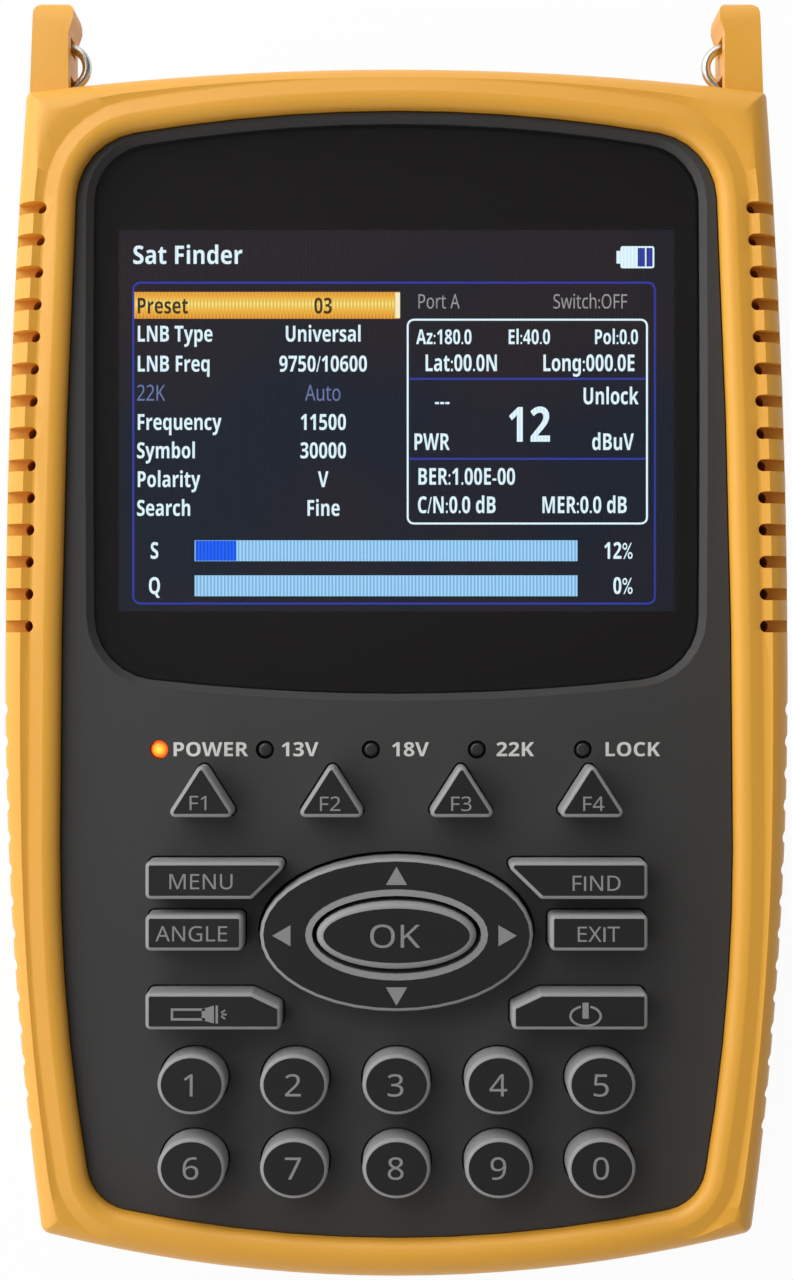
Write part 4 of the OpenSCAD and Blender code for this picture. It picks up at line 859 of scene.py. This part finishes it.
power_top = top_print("key_power", rim_w, edge_drop)
power_x = 23.2
power_y = -46.3
hoop_wide = 2.0
hoop_tall = 1.35
hoop_line = 0.28
hoop_gap = 0.62
hoop_sides = 40
hoop_y = power_y - 0.2
stem_half = 0.38
stem_y0 = power_y - 0.5
stem_y1 = power_y + 1.45
sign = bmesh.new()
oval = bmesh.ops.create_circle(sign, segments=hoop_sides, radius=mm, cap_ends=True)["verts"]
bmesh.ops.scale(sign, verts=oval, vec=(hoop_wide, hoop_tall, 1))
middle = sign.faces[:]
hoop = bmesh.ops.inset_region(sign, faces=middle, thickness=hoop_line * mm, use_even_offset=True,
                              use_boundary=True)
gap = []
for f in hoop["faces"]:
    spot = f.calc_center_median()
    if spot.y > 0 and abs(spot.x) < hoop_gap * mm:
        gap.append(f)
bmesh.ops.delete(sign, geom=gap + middle, context="FACES")
thicken(sign, layer_t)
bmesh.ops.translate(sign, verts=sign.verts, vec=(power_x * mm, hoop_y * mm, power_top))
tile(sign, power_x - stem_half, power_x + stem_half, stem_y0, stem_y1, power_top)
finish_piece("key_power_sign", sign, legend_grey, "key_power")

# Rocker: an oval ring that tilts four ways on a hidden carrier, round an oval OK key of its own.
# Four arrows are left bare in the ring's print.
dress(key_rubber, "rocker_ring", "key_ok")
ring_band = 0.6 * mm
ok_rim = 0.05 * mm
ring_top = top_print("rocker_ring", rim_w, edge_drop, ring_band)
ok_top = top_print("key_ok", ok_rim, merge_gap)
rocker_y = -36.65
arrow_r = 1.5 * mm
arrow_places = [(0, 6.9, 0), (0, -7.2, 180), (-13.8, -0.1, 90), (13.3, -0.1, -90)]
arrows = bmesh.new()
for x, y, turn in arrow_places:
    arrow = bmesh.ops.create_cone(arrows, segments=3, radius1=arrow_r, radius2=arrow_r, depth=layer_t,
                                  cap_ends=True)["verts"]
    spot = Matrix.Translation((x * mm, (rocker_y + y) * mm, ring_top + layer_t / 2))
    bmesh.ops.transform(arrows, matrix=spot @ Matrix.Rotation(math.radians(turn), 4, "Z"), verts=arrow)
finish_piece("rocker_arrows", arrows, legend_grey, "rocker_ring")
ok_height = 2.8
ok_spread = 1.17
ok_x = -0.3
ok_y = rocker_y - 0.05
legend = bmesh.new()
lettered(legend, "OK", ok_height, ok_x, ok_y, ok_top, "CENTER", ok_spread)
finish_piece("key_ok_legend", legend, legend_grey, "key_ok")

# Screen lens: a clear acrylic plate in the face's seat, printed black from behind round the window.
# The print is a thin layer in the back of the plate, as screen ink is.
lens_clear = clear("clear lens", (0.96, 0.96, 0.97), 0.03, 1, 1.45)
dress(lens_clear, "screen_lens")
mask_ink = moulded("black mask ink", (0.011, 0.009, 0.009), 0.6, grains=400, mottle=0.1, depth=0.005 * mm,
                   strength=0.02)
mask_ink.node_tree.nodes["Principled BSDF"].inputs["Specular IOR Level"].default_value = 0.1
mask_in = 0.15 * mm
lens_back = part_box("screen_lens")[0].z
window_x = screen_half * mm
window_y0 = screen_y0 * mm
window_y1 = screen_y1 * mm
mask = bmesh.new()
mask.from_mesh(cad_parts["screen_lens"].data)
bmesh.ops.remove_doubles(mask, verts=mask.verts, dist=merge_gap)
under = {f for f in mask.faces if all(v.co.z < lens_back + merge_gap for v in f.verts)}
bmesh.ops.delete(mask, geom=[f for f in mask.faces if f not in under], context="FACES")
edge = bmesh.ops.inset_region(mask, faces=mask.faces[:], thickness=mask_in, use_even_offset=True,
                              use_boundary=True)
bmesh.ops.delete(mask, geom=edge["faces"], context="FACES")
window = [((-window_x, 0, 0), (1, 0, 0)), ((window_x, 0, 0), (1, 0, 0)),
          ((0, window_y0, 0), (0, 1, 0)), ((0, window_y1, 0), (0, 1, 0))]
for place, way in window:
    bmesh.ops.bisect_plane(mask, geom=mask.verts[:] + mask.edges[:] + mask.faces[:], plane_co=place,
                           plane_no=way)
seen = []
for f in mask.faces:
    spot = f.calc_center_median()
    if abs(spot.x) < window_x and window_y0 < spot.y < window_y1:
        seen.append(f)
bmesh.ops.delete(mask, geom=seen, context="FACES")
thicken(mask, layer_t)
bmesh.ops.translate(mask, verts=mask.verts, vec=(0, 0, layer_t))
finish_piece("lens_mask", mask, mask_ink, "case")

# Front shell: the upper half of the case, with a rounded rim, a raised lip round the face and side vents.
# It is moulded in the rear shell's plastic, and its two ears hold the strap rings.
dress(shell_yellow, "front_shell")

# Strap rings: nickel plated wire bent to a drop, hung in a hole of each ear.
# They swing freely, so a neck strap can pull from any side.
dress(nickel, "strap_ring_left", "strap_ring_right")
